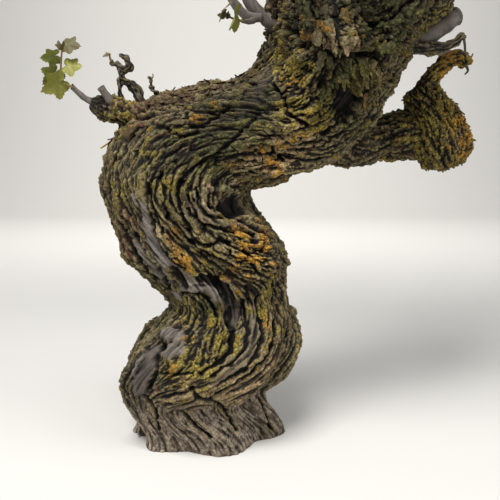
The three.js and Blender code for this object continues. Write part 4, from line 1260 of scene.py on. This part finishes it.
def roughened(piece, middle_line, groove_mm, seed):
    """Cuts fine lengthwise grooves in a cane, and marks its cut end."""
    mesh = piece.data
    corners = np.zeros(len(mesh.vertices) * 3, np.float32)
    mesh.vertices.foreach_get("co", corners)
    corners = corners.reshape(-1, 3).astype(float) / MM
    line = along(middle_line, np.linspace(0, 1, 60))
    off = corners[:, None] - line[None]
    far = np.linalg.norm(off, axis=-1)
    k = far.argmin(axis=1)
    out = unit(off[np.arange(len(k)), k])
    end = unit(line[-1] - line[-2])
    cut = ((corners - line[-1]) @ end > -0.6) & (far.min(axis=1) < 0.86 * far.min(axis=1).max())
    groove = noise(out * 3.2 + np.stack([k * 0.03] * 3, -1), 1.0, seed)
    corners += out * (groove_mm * (groove + 0.8 * noise(corners, 7, seed + 1)) * ~cut)[:, None]
    mesh.vertices.foreach_set("co", (corners * MM).astype(np.float32).ravel())
    for key, values in (("cut_end", cut), ("groove", np.clip(0.5 + 0.6 * groove, 0, 1))):
        mesh.attributes.new(key, "FLOAT", "POINT").data.foreach_set("value", values.astype(np.float32))
    mesh.polygons.foreach_set("use_smooth", np.ones(len(mesh.polygons), bool))
    mesh.update()


def bud_shape(sides=8):
    """A bud of unit length standing on its base along Z: rings from the base to the point."""
    angle = np.arange(sides) * TAU / sides
    flat = np.stack([np.cos(angle), 0.8 * np.sin(angle)], -1)
    rings = [np.column_stack([r * flat, np.full(sides, z)]) for r, z in BUD_PROFILE]
    return closed_grid(np.array(rings), np.array([0, 0, BUD_PROFILE[0][1]]), UP)


@lru_cache(maxsize=None)
def dead_wood_material():
    # Dead vine wood: barkless grey fibres, dark with age and damp, with a thin olive film of lichen on top.
    material, tree = new_material("dead_vine_wood")
    film = node(tree, "MapRange", (spots(tree, 9, detail=4), 0.5, 0.62, 0, 0.8))
    colour = painted(
        tree, linear("#1E1A15"), (shown(tree, "streak", 0.2, 0.8), linear("#4E463A")),
        (film, linear("#6E6230")),
        # Painted highlight on the ridge tops of the dead wood.
        (shown(tree, "crest", 0, 1, 0, 0.5), linear("#6E6455")),
        # Painted shade in the clefts of the dead wood.
        (shown(tree, "cleft"), linear("#120F0C")),
    )
    worn = node(tree, "Bump", {"Height": spots(tree, 1.6, detail=4), "Distance": 0.5 * MM, "Strength": 0.8})
    return finished(material, {"Base Color": colour, "Roughness": 0.9, "IOR": 1.42, "Normal": worn})


class Heap:
    """Many small shapes gathered into one mesh, each with its own material and tints."""

    def __init__(self):
        self.corners, self.faces, self.materials, self.tints, self.count = [], [], [], {}, 0

    def add(self, corners, faces, material=0, tints=None):
        for part in faces:
            part = np.asarray(part)
            self.faces.append(part + self.count)
            self.materials.append(np.full(len(part), material))
        self.corners.append(corners)
        self.count += len(corners)
        for key, value in (tints or {}).items():
            self.tints.setdefault(key, []).append(np.full(len(corners), value))

    def piece(self, name, materials, smooth=True):
        tints = {key: np.concatenate(parts) for key, parts in self.tints.items()}
        made = new_mesh(name, np.concatenate(self.corners), self.faces, tints, smooth)
        for material in materials:
            made.data.materials.append(material)
        made.data.polygons.foreach_set("material_index", np.concatenate(self.materials).astype(np.int32))
        return made


def stood(corners, root, way, size):
    """A small shape's corners, grown to a size and stood at a place along a direction."""
    return root + (corners * size) @ np.array(Vector(way).to_track_quat("Z", "Y").to_matrix()).T


def twig_shape(line, radii, sides, rings):
    """A thin stalk along a line, with a closed point."""
    points = limb_points(line, lambda t: mix(*radii, t), rings + 1, sides, lumps(0))
    end = points[-1].mean(axis=0) + unit(np.subtract(line[-1], line[-2])) * radii[1] * 0.6
    return closed_grid(points, points[0].mean(axis=0), end)


# Half of a young vine leaf's outline: the angle from its tip in degrees and how far it reaches, as a share
# of the blade. Five lobes with a hollow at the stalk.
LEAF_HALF = [(0, 1.0), (12, 0.86), (24, 0.74), (33, 0.6), (44, 0.7), (56, 0.82), (66, 0.86), (78, 0.72),
             (92, 0.58), (104, 0.63), (118, 0.66), (132, 0.6), (148, 0.5), (164, 0.34), (176, 0.14)]
# The angles of its veins, how many points its outline has, its rings, and its teeth as a share of its reach.
LEAF_VEINS = (0, 64, 118)
LEAF_POINTS = 59
LEAF_RINGS = (0.3, 0.62, 0.86, 1.0)
TOOTH = 0.055


def leaf_shape(fold, cup, wave, spin):
    """A blade of unit reach in its own XY plane, its tip along +Y: rings of points and a toothed edge."""
    half = np.array(LEAF_HALF)
    n = LEAF_POINTS
    angle = np.radians(np.linspace(-half[-1, 0], half[-1, 0], n))
    degrees = np.degrees(np.abs(angle))
    reach = np.interp(degrees, half[:, 0], half[:, 1])
    teeth = TOOTH * np.where(np.arange(n) % 2, 1, -0.5)
    vein = np.min([np.abs(degrees - v) for v in LEAF_VEINS], axis=0)
    rings = [np.zeros((1, 3))]
    for share in LEAF_RINGS:
        far = reach * (share + teeth * (share == 1))
        x, y = -np.sin(angle) * far, np.cos(angle) * far
        rise = fold * np.abs(x) + cup * far ** 2 + 0.05 * share * (1 - np.exp(-(vein / 11) ** 2))
        rise = rise + wave * share ** 2 * np.sin(3 * angle + spin)
        rings.append(np.stack([x, y, rise], -1))
    fan = [[2 + a, 1 + a, 0] for a in range(n - 1)]
    starts = [1 + k * n + a for k in range(len(LEAF_RINGS) - 1) for a in range(n - 1)]
    return np.concatenate(rings), [np.array(fan), np.array([[i + 1, i + n + 1, i + n, i] for i in starts])]


def inside_stalk(line, rings, t):
    """A point inside a stalk that runs straight from ring to ring."""
    k = min(int(t * rings), rings - 1)
    return mix(along(line, k / rings), along(line, (k + 1) / rings), t * rings - k)


@lru_cache(maxsize=None)
def shoot_rules():
    """Each young shoot: where it springs from, the way that it grows, and its size."""
    rules = {name: {**rule, "line": OLD_SPURS[rule["on"]][0]} for name, rule in SHOWN_SHOOTS.items()}
    for n, (name, line) in enumerate(pruned_spurs().items()):
        chance = seeded(SEEDS["shoot"] + n)
        turn = TAU * chance()
        aim = (0.5 * math.cos(turn), 0.5 * math.sin(turn), 1)
        length = mix(*SHOOT["length"], chance())
        leaves = math.floor(mix(*SHOOT["leaves"], chance()) + 0.5)
        rules[f"{name}_shoot"] = {"on": name, "line": line, "aim": aim, "length": length, "leaves": leaves,
                                  "blade": mix(*SHOOT["blade"], chance()), "seed": SEEDS["leaves"] + n}
    return rules


def limb_tree():
    """The limbs of the frame as one tree of faces, to find what touches them."""
    corners, faces, count = [], [], 0
    for name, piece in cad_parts.items():
        if "shoot" in name:
            continue
        corners += [v.co.copy() for v in piece.data.vertices]
        faces += [[count + i for i in face.vertices] for face in piece.data.polygons]
        count = len(corners)
    return BVHTree.FromPolygons(corners, faces)


def touches(tree, corners, faces):
    flat = [list(map(int, face)) for part in faces for face in part]
    return bool(tree.overlap(BVHTree.FromPolygons([Vector(c * MM) for c in corners], flat)))


def grow_shoot(rule, stems, blades, tree):
    """One young shoot: its stem, its leaves on alternate sides and a folded tip."""
    chance = seeded(rule["seed"])
    extra = seeded(rule["seed"] + SEEDS["blades"])
    before, cut_end = np.array(rule["line"][-2], float), np.array(rule["line"][-1], float)
    start = unit(cut_end - before)
    root = cut_end - start * SHOOT["sunk"]
    bent = root + start * (SHOOT["sunk"] + rule["length"] * SHOOT["bend"])
    tip = bent + unit(np.array(rule["aim"], float)) * rule["length"] * (1 - SHOOT["bend"])
    stem = [root.tolist(), bent.tolist(), tip.tolist()]
    stems.add(*twig_shape(stem, SHOOT["radius"], 9, 10))
    first = TAU * chance()
    count = rule["leaves"]
    for n in range(count):
        t = mix(*rule.get("span", SHOOT["span"]), n / (count - 1) if count > 1 else 1)
        turn = first + math.pi * n + SHOOT["sway"] * (chance() - 0.5)
        out = unit(np.array([math.cos(turn), math.sin(turn), mix(*SHOOT["rise"], n / count)]))
        reach = rule["blade"] * mix(*SHOOT["smaller"], n / count) * mix(*SHOOT["vary"], chance())
        droop = mix(*SHOOT["droop"], chance())
        joint = inside_stalk(stem, 3, t)
        base = joint + out * reach * SHOOT["petiole"]
        roll = mix(*rule.get("roll", SHOOT["roll"]), chance())
        across = unit(np.cross(UP, out))
        tip_way = np.cos(droop) * out + np.sin(droop) * np.cross(across, out)
        across = np.cos(roll) * across + np.sin(roll) * np.cross(tip_way, across)
        stand = np.stack([across, tip_way, np.cross(across, tip_way)])
        fold, cup, wave = 0.1 + 0.25 * extra(), 0.1 * (extra() - 0.3), 0.05 + 0.05 * extra()
        corners, faces = leaf_shape(fold, cup, wave, TAU * extra())
        corners = base + corners * reach @ stand
        if touches(tree, corners, faces):
            continue
        bow = joint + out * reach * 0.3 + UP * 0.7
        stems.add(*twig_shape([joint, bow, base], SHOOT["petiole_radius"], 6, 4), 1)
        blades.add(corners, faces, 2 if t > SHOOT["young"] else int(extra() * 2))
        swell, faces = bud_shape(6)
        stems.add(stood(swell, joint, out * 0.5 + UP, SHOOT["swelling"]), faces, 1)
    for n in range(SHOOT_TIP["count"]):
        turn = first + SHOOT_TIP["turn"] * n
        spread = SHOOT_TIP["spread"]
        way = unit(np.array([spread * math.cos(turn), spread * math.sin(turn), 1]))
        reach = rule["blade"] * mix(*SHOOT_TIP["blade"], n / (SHOOT_TIP["count"] - 1))
        corners, faces = leaf_shape(0.9, 0.2, 0.05, turn)
        across = unit(np.cross(UP, way) + 1e-6)
        stand = np.stack([across, way, np.cross(across, way)])
        corners = inside_stalk(stem, 3, SHOOT_TIP["at"]) + corners * reach @ stand
        blades.add(corners, faces, 2)


def shred_shape(length, width, thick, curl, twist, segments=5):
    """A strip of peeling bark from its root at the origin along +Y, with +Z away from the limb."""
    t = np.linspace(0, 1, segments + 1)
    y = length * (t - 0.3 * curl * t ** 3)
    z = -0.8 + length * (0.06 * t + 0.4 * curl * t ** 2.2)
    half = width / 2 * (1 - 0.35 * t ** 2) * (1 + 0.25 * np.sin(t * 17 + width * 9))
    half[-1] *= 0.6
    middle = np.stack([0 * t, y, z], -1)
    across = np.stack([np.cos(twist * t), 0 * t, np.sin(twist * t)], -1) * half[:, None]
    lift = np.stack([-np.sin(twist * t), 0 * t, np.cos(twist * t)], -1) * thick / 2
    rings = np.stack([middle + across, middle + lift, middle - across, middle - lift], axis=1)
    return closed_grid(rings, rings[0].mean(axis=0), rings[-1].mean(axis=0))


def scatter_shreds(heap, wall, density, seed, count, size, slim, curl, hang=0.0, loose=0.0, look=None):
    """Lays strips of peeling bark on a wall along its grain, more where the density is high."""
    rng = np.random.default_rng(seed)
    weight = (density * wall.round_step * wall.rise_step * (1 - wall.tints["bare"])).ravel()
    picked = rng.choice(weight.size, count, p=weight / weight.sum())
    shown = wall.shown().reshape(-1, 3)
    normal, rounds, rises = (v.reshape(-1, 3) for v in (wall.normal, wall.round_way, wall.rise_way))
    turn = wall.turn.ravel()
    tints = {key: values.ravel() for key, values in wall.tints.items()}
    for i in picked:
        way = rounds[i] * math.sin(turn[i]) + rises[i] * math.cos(turn[i])
        if way[2] > 0 and rng.random() < SHRED["down"]:
            way = -way
        if rng.random() < hang:
            way = unit(way - SHRED["fall"] * UP)
        up = normal[i]
        way = way - up * (way @ up) * SHRED["flat"]
        way = unit(way + rng.normal(size=3) * SHRED["sway"] + up * loose)
        across = unit(np.cross(way, up))
        up = np.cross(across, way)
        length = size * min(rng.lognormal(0, SHRED["vary"]), SHRED["most"])
        width = length * rng.uniform(*slim)
        thick, rolled = rng.uniform(*SHRED["thick"]), rng.uniform(*curl)
        corners, faces = shred_shape(length, width, thick, rolled, rng.normal() * SHRED["twist"])
        placed = shown[i] - way * length * SHRED["behind"] + corners @ np.stack([across, way, up])
        if placed[:, 2].min() < SHRED["lowest"]:
            continue
        shares = {key: values[i] for key, values in tints.items()}
        # Each strip gets its own random painted shade and painted highlight, and no bare wood.
        shares.update(cleft=0.3 * rng.random(), crest=rng.random() * 0.8, streak=rng.random(), bare=0.0)
        heap.add(placed, faces, 0, {**shares, **(look or {})})


@lru_cache(maxsize=None)
def cane_material(name, low, high, cut):
    # Ripe vine wood: smooth thin bark with fine lengthwise grooves, a little satin, and a paler cut end.
    material, tree = new_material(name)
    clouds = node(tree, "MapRange", (spots(tree, 9, detail=4), 0.35, 0.65, 0, 0.6))
    speck = node(tree, "MapRange", (spots(tree, 1.3), 0.58, 0.7, 0, 0.5))
    colour = painted(
        tree, linear(low), (shown(tree, "groove", 0.2, 0.8), linear(high)),
        (clouds, linear("#756C62")),
        (shown(tree, "cut_end"), linear(cut)),
        (speck, linear("#3B302A")),
    )
    pores = node(tree, "Bump", {"Height": spots(tree, 1.4, detail=4), "Distance": 0.3 * MM, "Strength": 0.6})
    return finished(material, {"Base Color": colour, "Roughness": 0.68, "IOR": 1.45, "Normal": pores})


@lru_cache(maxsize=None)
def soft_green(name, code, roughness, waxy=0.0):
    # Young vine leaf and stem: thin living tissue with a waxy skin and a soft down, so a broad soft gloss.
    material, tree = new_material(name)
    mottle = node(tree, "MapRange", (spots(tree, 3.2), 0.3, 0.7))
    base = linear(code)
    darker = (*[c * 0.72 for c in base[:3]], 1.0)
    down = node(tree, "Bump", {"Height": spots(tree, 1.1, detail=2), "Distance": 0.15 * MM, "Strength": 0.5})
    return finished(material, {
        "Base Color": painted(tree, darker, (mottle, base)), "Roughness": roughness, "IOR": 1.42,
        "Coat Weight": waxy, "Coat Roughness": 0.35, "Sheen Weight": 0.15, "Normal": down,
    })


def number_of(label, about, value, **kind):
    return FloatProperty(name=label, description=about, default=value, **kind)


def length_of(label, about, size):
    return number_of(label, about, size, unit="LENGTH")


def colour_of(label, about, code):
    return FloatVectorProperty(name=label, description=about, size=4, subtype="COLOR", default=linear(code))


class VineBark(bpy.types.PropertyGroup):
    """Sizes and colours of the bark"""

    cord_width: length_of("Cord width", "Width of the twisted cords of the trunk", 0.034)
    cord_length: length_of("Cord length", "Length that a cord keeps its way", 0.17)
    cord_height: length_of("Cord height", "Height of the cords over their clefts", 0.0062)
    plate_width: length_of("Plate width", "Width of the plates of bark", 0.0115)
    plate_length: length_of("Plate length", "Length of the plates of bark", 0.07)
    plate_height: length_of("Plate height", "Height of the plates over their clefts", 0.0046)
    layer_height: length_of("Layer height", "Thickness of one layer of peeling bark", 0.0016)
    grit_height: length_of("Grit height", "Height of the crumbs on the bark", 0.0012)
    fibre_width: length_of("Fibre width", "Width of the fibres on each plate", 0.0031)
    fibre_height: length_of("Fibre height", "Height of the fibres on each plate", 0.0011)
    # Painted shade: the near-black colour laid into the clefts and hollows of the bark.
    cleft: colour_of("Cleft", "Colour deep between the plates", "#0D0B08")
    bark_dark: colour_of("Dark bark", "Colour of fresh dark bark", "#201B13")
    bark_mid: colour_of("Mid bark", "Colour of the plates' faces", "#4C442C")
    # Painted highlight: the pale colour laid on the ridge tops of the bark.
    bark_highlight: colour_of("Light bark", "Colour of the plates' weathered edges", "#94865F")
    bark_warm: colour_of("Warm bark", "Colour of brown bark", "#66462A")
    foot_dark: colour_of("Dark foot", "Colour of dark bark near the ground", "#5E4E3E")
    foot_light: colour_of("Light foot", "Colour of light bark near the ground", "#AA9B8A")
    # Dark bare wood, which in the bare hollows, whose tone is near 0, is painted shade.
    bare_dark_and_hollow_shade: colour_of("Dark bare wood", "Colour of dark bare wood", "#2B2622")
    bare_light: colour_of("Light bare wood", "Colour of weathered bare wood", "#9A9187")
    mustard: colour_of("Mustard lichen", "Colour of the yellow lichen", "#A08E3C")
    orange: colour_of("Orange lichen", "Colour of the orange lichen", "#B8882F")


class VineStage(bpy.types.PropertyGroup):
    """The camera, the lights and the backdrop"""

    lens: number_of("Lens", "Focal length of the camera in mm", CAMERA["lens"])
    tilt: number_of("Tilt", "How far the camera looks down", math.radians(CAMERA["tilt"]), subtype="ANGLE")
    camera: FloatVectorProperty(name="Camera", description="Where the camera stands", size=3,
                                subtype="TRANSLATION", default=[MM * x for x in CAMERA["at"]])
    floor: colour_of("Floor", "Colour of the floor and the backdrop", "#D9D6D0")
    key: number_of("Key light", "Power of the main soft light in watts", 84)
    fill: number_of("Fill light", "Power of the second soft light in watts", 14)
    wall: number_of("Wall light", "Power of the light on the backdrop in watts", 76)
    sky: number_of("Sky", "Strength of the light from all round", 0.45)


class VINE_OT_trunk(bpy.types.Operator):
    """Makes the trunk's bark, in three stretches that share their end rings"""

    bl_idname = "vine.trunk"
    bl_label = "Trunk"

    def execute(self, context):
        wall = trunk_wall()
        for name, (first, last) in TRUNK_PIECES.items():
            piece = wall_piece(name, wall, first, last)
            piece.data.materials.append(bark_material())
            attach(piece, BODY)
            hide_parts("trunk")
        return {"FINISHED"}


class VINE_OT_arms(bpy.types.Operator):
    """Makes the bark of the arms"""

    bl_idname = "vine.arms"
    bl_label = "Arms"

    def execute(self, context):
        for name in all_arms():
            piece = wall_piece(f"{name}_bark", arm_wall(name))
            piece.data.materials.append(bark_material())
            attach(piece, BODY)
            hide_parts(name)
        return {"FINISHED"}


class VINE_OT_knob(bpy.types.Operator):
    """Makes the swollen end of the arm that droops behind the head"""

    bl_idname = "vine.knob"
    bl_label = "Knob"

    def execute(self, context):
        piece = wall_piece("knob_bark", knob_wall())
        piece.data.materials.append(bark_material())
        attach(piece, BODY)
        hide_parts("knob")
        return {"FINISHED"}


class VINE_OT_old_spurs(bpy.types.Operator):
    """Makes the old spurs, pegs and dead twigs that show on the elbow, the head and the knob"""

    bl_idname = "vine.old_spurs"
    bl_label = "Old spurs"

    def execute(self, context):
        for n, (name, (line, radii, finish)) in enumerate(OLD_SPURS.items()):
            if finish == "cane":
                piece = grown_cane(f"{name}_wood", line, cane_radius(radii))
                roughened(piece, line, 0.35, SEEDS["old_cane"] + n)
                piece.data.materials.append(cane_material("weathered_cane", "#322B27", "#6C645D", "#4A4139"))
            else:
                piece = wall_piece(f"{name}_wood", spur_wall(name))
                piece.data.materials.append(bark_material() if finish == "lichen" else dead_wood_material())
            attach(piece, BODY)
            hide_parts(name)
        heap = Heap()
        for line, radii in TWIGLETS:
            # The twiglets get a little painted highlight and painted shade.
            heap.add(*twig_shape(line, radii, 8, 10), 0, {"streak": 0.5, "crest": 0.2, "cleft": 0.1})
        piece = heap.piece("dead_twiglets", [dead_wood_material()])
        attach(piece, BODY)
        return {"FINISHED"}


class VINE_OT_pruned_spurs(bpy.types.Operator):
    """Makes the pruned spurs at the ends of the arms, with their buds"""

    bl_idname = "vine.pruned_spurs"
    bl_label = "Pruned spurs"

    def execute(self, context):
        buds = Heap()
        cane = cane_material("ripe_cane", "#5A3B2A", "#A57E5C", "#C9B48C")
        for n, (name, line) in enumerate(pruned_spurs().items()):
            piece = grown_cane(f"{name}_cane", line, spur_radius, sides=14, rings=12)
            roughened(piece, line, 0.3, SEEDS["ripe_cane"] + n)
            piece.data.materials.append(cane)
            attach(piece, BODY)
            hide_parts(name)
            chance = seeded(SEEDS["buds"] + n)
            for t in BUDS["at"]:
                turn = TAU * chance()
                out = unit(np.array([math.cos(turn), math.sin(turn), BUDS["rise"]]))
                bud, faces = bud_shape()
                root = along(line, t) + out * spur_radius(t) * BUDS["out"]
                buds.add(stood(bud, root, out, BUDS["length"]), faces, 0, {"groove": 0.5, "cut_end": 0.0})
        piece = buds.piece("winter_buds", [cane_material("bud_scales", "#4A2E20", "#8A6040", "#8A6040")])
        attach(piece, BODY)
        return {"FINISHED"}


class VINE_OT_shreds(bpy.types.Operator):
    """Lays the strips of peeling bark on the trunk, the arms and the knob"""

    bl_idname = "vine.shreds"
    bl_label = "Shreds of bark"

    def execute(self, context):
        wall = trunk_wall()
        place = wall.points
        skyward = smoothstep(0.2, 0.7, wall.normal[..., 2]) * smoothstep(380, 430, place[..., 2])
        density = 0.25 + 1.6 * smoothstep(440, 520, place[..., 2]) + smoothstep(-60, -100, place[..., 0])
        density = (density + 2.0 * skyward) * (1 - 0.8 * smoothstep(190, 150, place[..., 2]))
        tufts = smoothstep(0.15, 1, closeness(place, TUFTS["at"], TUFTS["reach"]))
        head = smoothstep(440, 520, place[..., 2]) * smoothstep(0.3, -0.2, wall.normal[..., 0])
        heap = Heap()
        for kind, where in (("trunk", density), ("top", skyward), ("tufts", tufts), ("head", head)):
            scatter_shreds(heap, wall, where, **SHREDS[kind])
        piece = heap.piece("trunk_shreds", [bark_material()], smooth=False)
        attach(piece, BODY)
        heap = Heap()
        for n, name in enumerate(all_arms()):
            scatter_shreds(heap, arm_wall(name), 1, SEEDS["arm_shreds"] + n, **SHREDS["arm"])
        scatter_shreds(heap, knob_wall(), 1, SEEDS["knob_shreds"], **SHREDS["knob"])
        piece = heap.piece("arm_shreds", [bark_material()], smooth=False)
        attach(piece, BODY)
        return {"FINISHED"}


class VINE_OT_shoots(bpy.types.Operator):
    """Grows the young shoots: stems, leaves and tips by the rule of the solids, carried finer"""

    bl_idname = "vine.shoots"
    bl_label = "Young shoots"

    def execute(self, context):
        stems, blades = Heap(), Heap()
        tree = limb_tree()
        for rule in shoot_rules().values():
            grow_shoot(rule, stems, blades, tree)
        stem = stems.piece("young_stems", [soft_green("young_stem", "#7E6A34", 0.5, 0.2),
                                           soft_green("young_stalk", "#8A8A3A", 0.5, 0.2)])
        blade = blades.piece("young_leaves", [soft_green("young_leaf_green", "#7A8230", 0.5, 0.15),
                                              soft_green("young_leaf_yellow", "#8E8C36", 0.5, 0.15),
                                              soft_green("young_leaf_bronze", "#5C5226", 0.6, 0.05)])
        for piece in (stem, blade):
            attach(piece, BODY)
            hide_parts(*shoot_rules())
        return {"FINISHED"}


def add_to_scene(name, data, at, turn):
    """Puts a camera or a light in the scene."""
    made = bpy.data.objects.new(name, data)
    made.location, made.rotation_euler = at, turn
    bpy.context.scene.collection.objects.link(made)
    return made


def add_backdrop(colour):
    """The pale floor, which rises behind the plant in a quarter round to a wall."""
    front, back, curve = BACKDROP["front"], BACKDROP["back"], BACKDROP["curve"]
    bpy.ops.object.select_all(action="DESELECT")
    bpy.ops.mesh.primitive_plane_add(size=2, location=(0, (front + back) / 2, 0))
    floor = bpy.context.object
    floor.name = "studio_floor"
    floor.scale = (BACKDROP["half_width"], (back - front) / 2, 1)
    bpy.ops.object.transform_apply(location=True, rotation=True, scale=True)
    for corner in floor.data.vertices:
        corner.select = corner.co.y > 0
    bpy.ops.object.mode_set(mode="EDIT")
    bpy.ops.mesh.select_mode(type="VERT")
    bpy.ops.mesh.spin(steps=BACKDROP["steps"], angle=-TAU / 4, center=(0, back, curve), axis=(1, 0, 0))
    bpy.ops.mesh.extrude_edges_move(TRANSFORM_OT_translate={"value": (0, 0, BACKDROP["wall"])})
    bpy.ops.object.mode_set(mode="OBJECT")
    floor.data.polygons.foreach_set("use_smooth", np.ones(len(floor.data.polygons), bool))
    # Matt painted board: even and pale, with no gloss.
    material, _ = new_material("pale_floor")
    floor.data.materials.append(finished(material, {"Base Color": colour, "Roughness": 0.9, "IOR": 1.45}))
    return floor


class VINE_OT_stage(bpy.types.Operator):
    """Makes the camera, the soft lights, and the plain pale floor and backdrop"""

    bl_idname = "vine.stage"
    bl_label = "Stage"

    def execute(self, context):
        setup = context.scene.vine_stage
        data = bpy.data.cameras.new("camera")
        data.lens, data.sensor_width = setup.lens, CAMERA["film"]
        data.clip_start, data.clip_end = CAMERA["clip"]
        turn = (math.radians(90) - setup.tilt, 0, 0)
        context.scene.camera = add_to_scene("camera", data, setup.camera, turn)
        for name, (at, towards, size) in LIGHTS.items():
            light = bpy.data.lights.new(f"{name}_light", "AREA")
            light.energy, light.size = getattr(setup, name), size
            turn = (Vector(towards) - Vector(at)).to_track_quat("-Z", "Y").to_euler()
            add_to_scene(light.name, light, at, turn).visible_camera = False
        world = bpy.data.worlds.new("soft_sky")
        world.use_nodes = True
        sky = world.node_tree.nodes["Background"]
        sky.inputs[0].default_value = linear("#EDF0F4")
        sky.inputs[1].default_value = setup.sky
        context.scene.world = world
        floor = add_backdrop(tuple(setup.floor))
        context.scene.view_settings.view_transform = "Standard"
        return {"FINISHED"}


class VINE_PT_panel(bpy.types.Panel):
    """Lists the steps that make the plant, in their order"""

    bl_idname = "VINE_PT_panel"
    bl_label = "Old grapevine"
    bl_space_type = "VIEW_3D"
    bl_region_type = "UI"
    bl_category = "Grapevine"

    def draw(self, context):
        for operator in OPERATORS:
            self.layout.operator(operator.bl_idname)


GROUPS = {"vine_bark": VineBark, "vine_stage": VineStage}
OPERATORS = (VINE_OT_trunk, VINE_OT_arms, VINE_OT_knob, VINE_OT_old_spurs, VINE_OT_pruned_spurs,
             VINE_OT_shreds, VINE_OT_shoots, VINE_OT_stage)


def register():
    for made in (*GROUPS.values(), *OPERATORS, VINE_PT_panel):
        bpy.utils.register_class(made)
    for name, group in GROUPS.items():
        setattr(bpy.types.Scene, name, PointerProperty(type=group))


def unregister():
    for name in GROUPS:
        delattr(bpy.types.Scene, name)
    for made in (VINE_PT_panel, *reversed(OPERATORS), *reversed(GROUPS.values())):
        bpy.utils.unregister_class(made)


def main():
    register()
    bpy.ops.vine.trunk()
    bpy.ops.vine.arms()
    bpy.ops.vine.knob()
    bpy.ops.vine.old_spurs()
    bpy.ops.vine.pruned_spurs()
    bpy.ops.vine.shreds()
    bpy.ops.vine.shoots()
    bpy.ops.vine.stage()


if __name__ == "__main__":
    main()
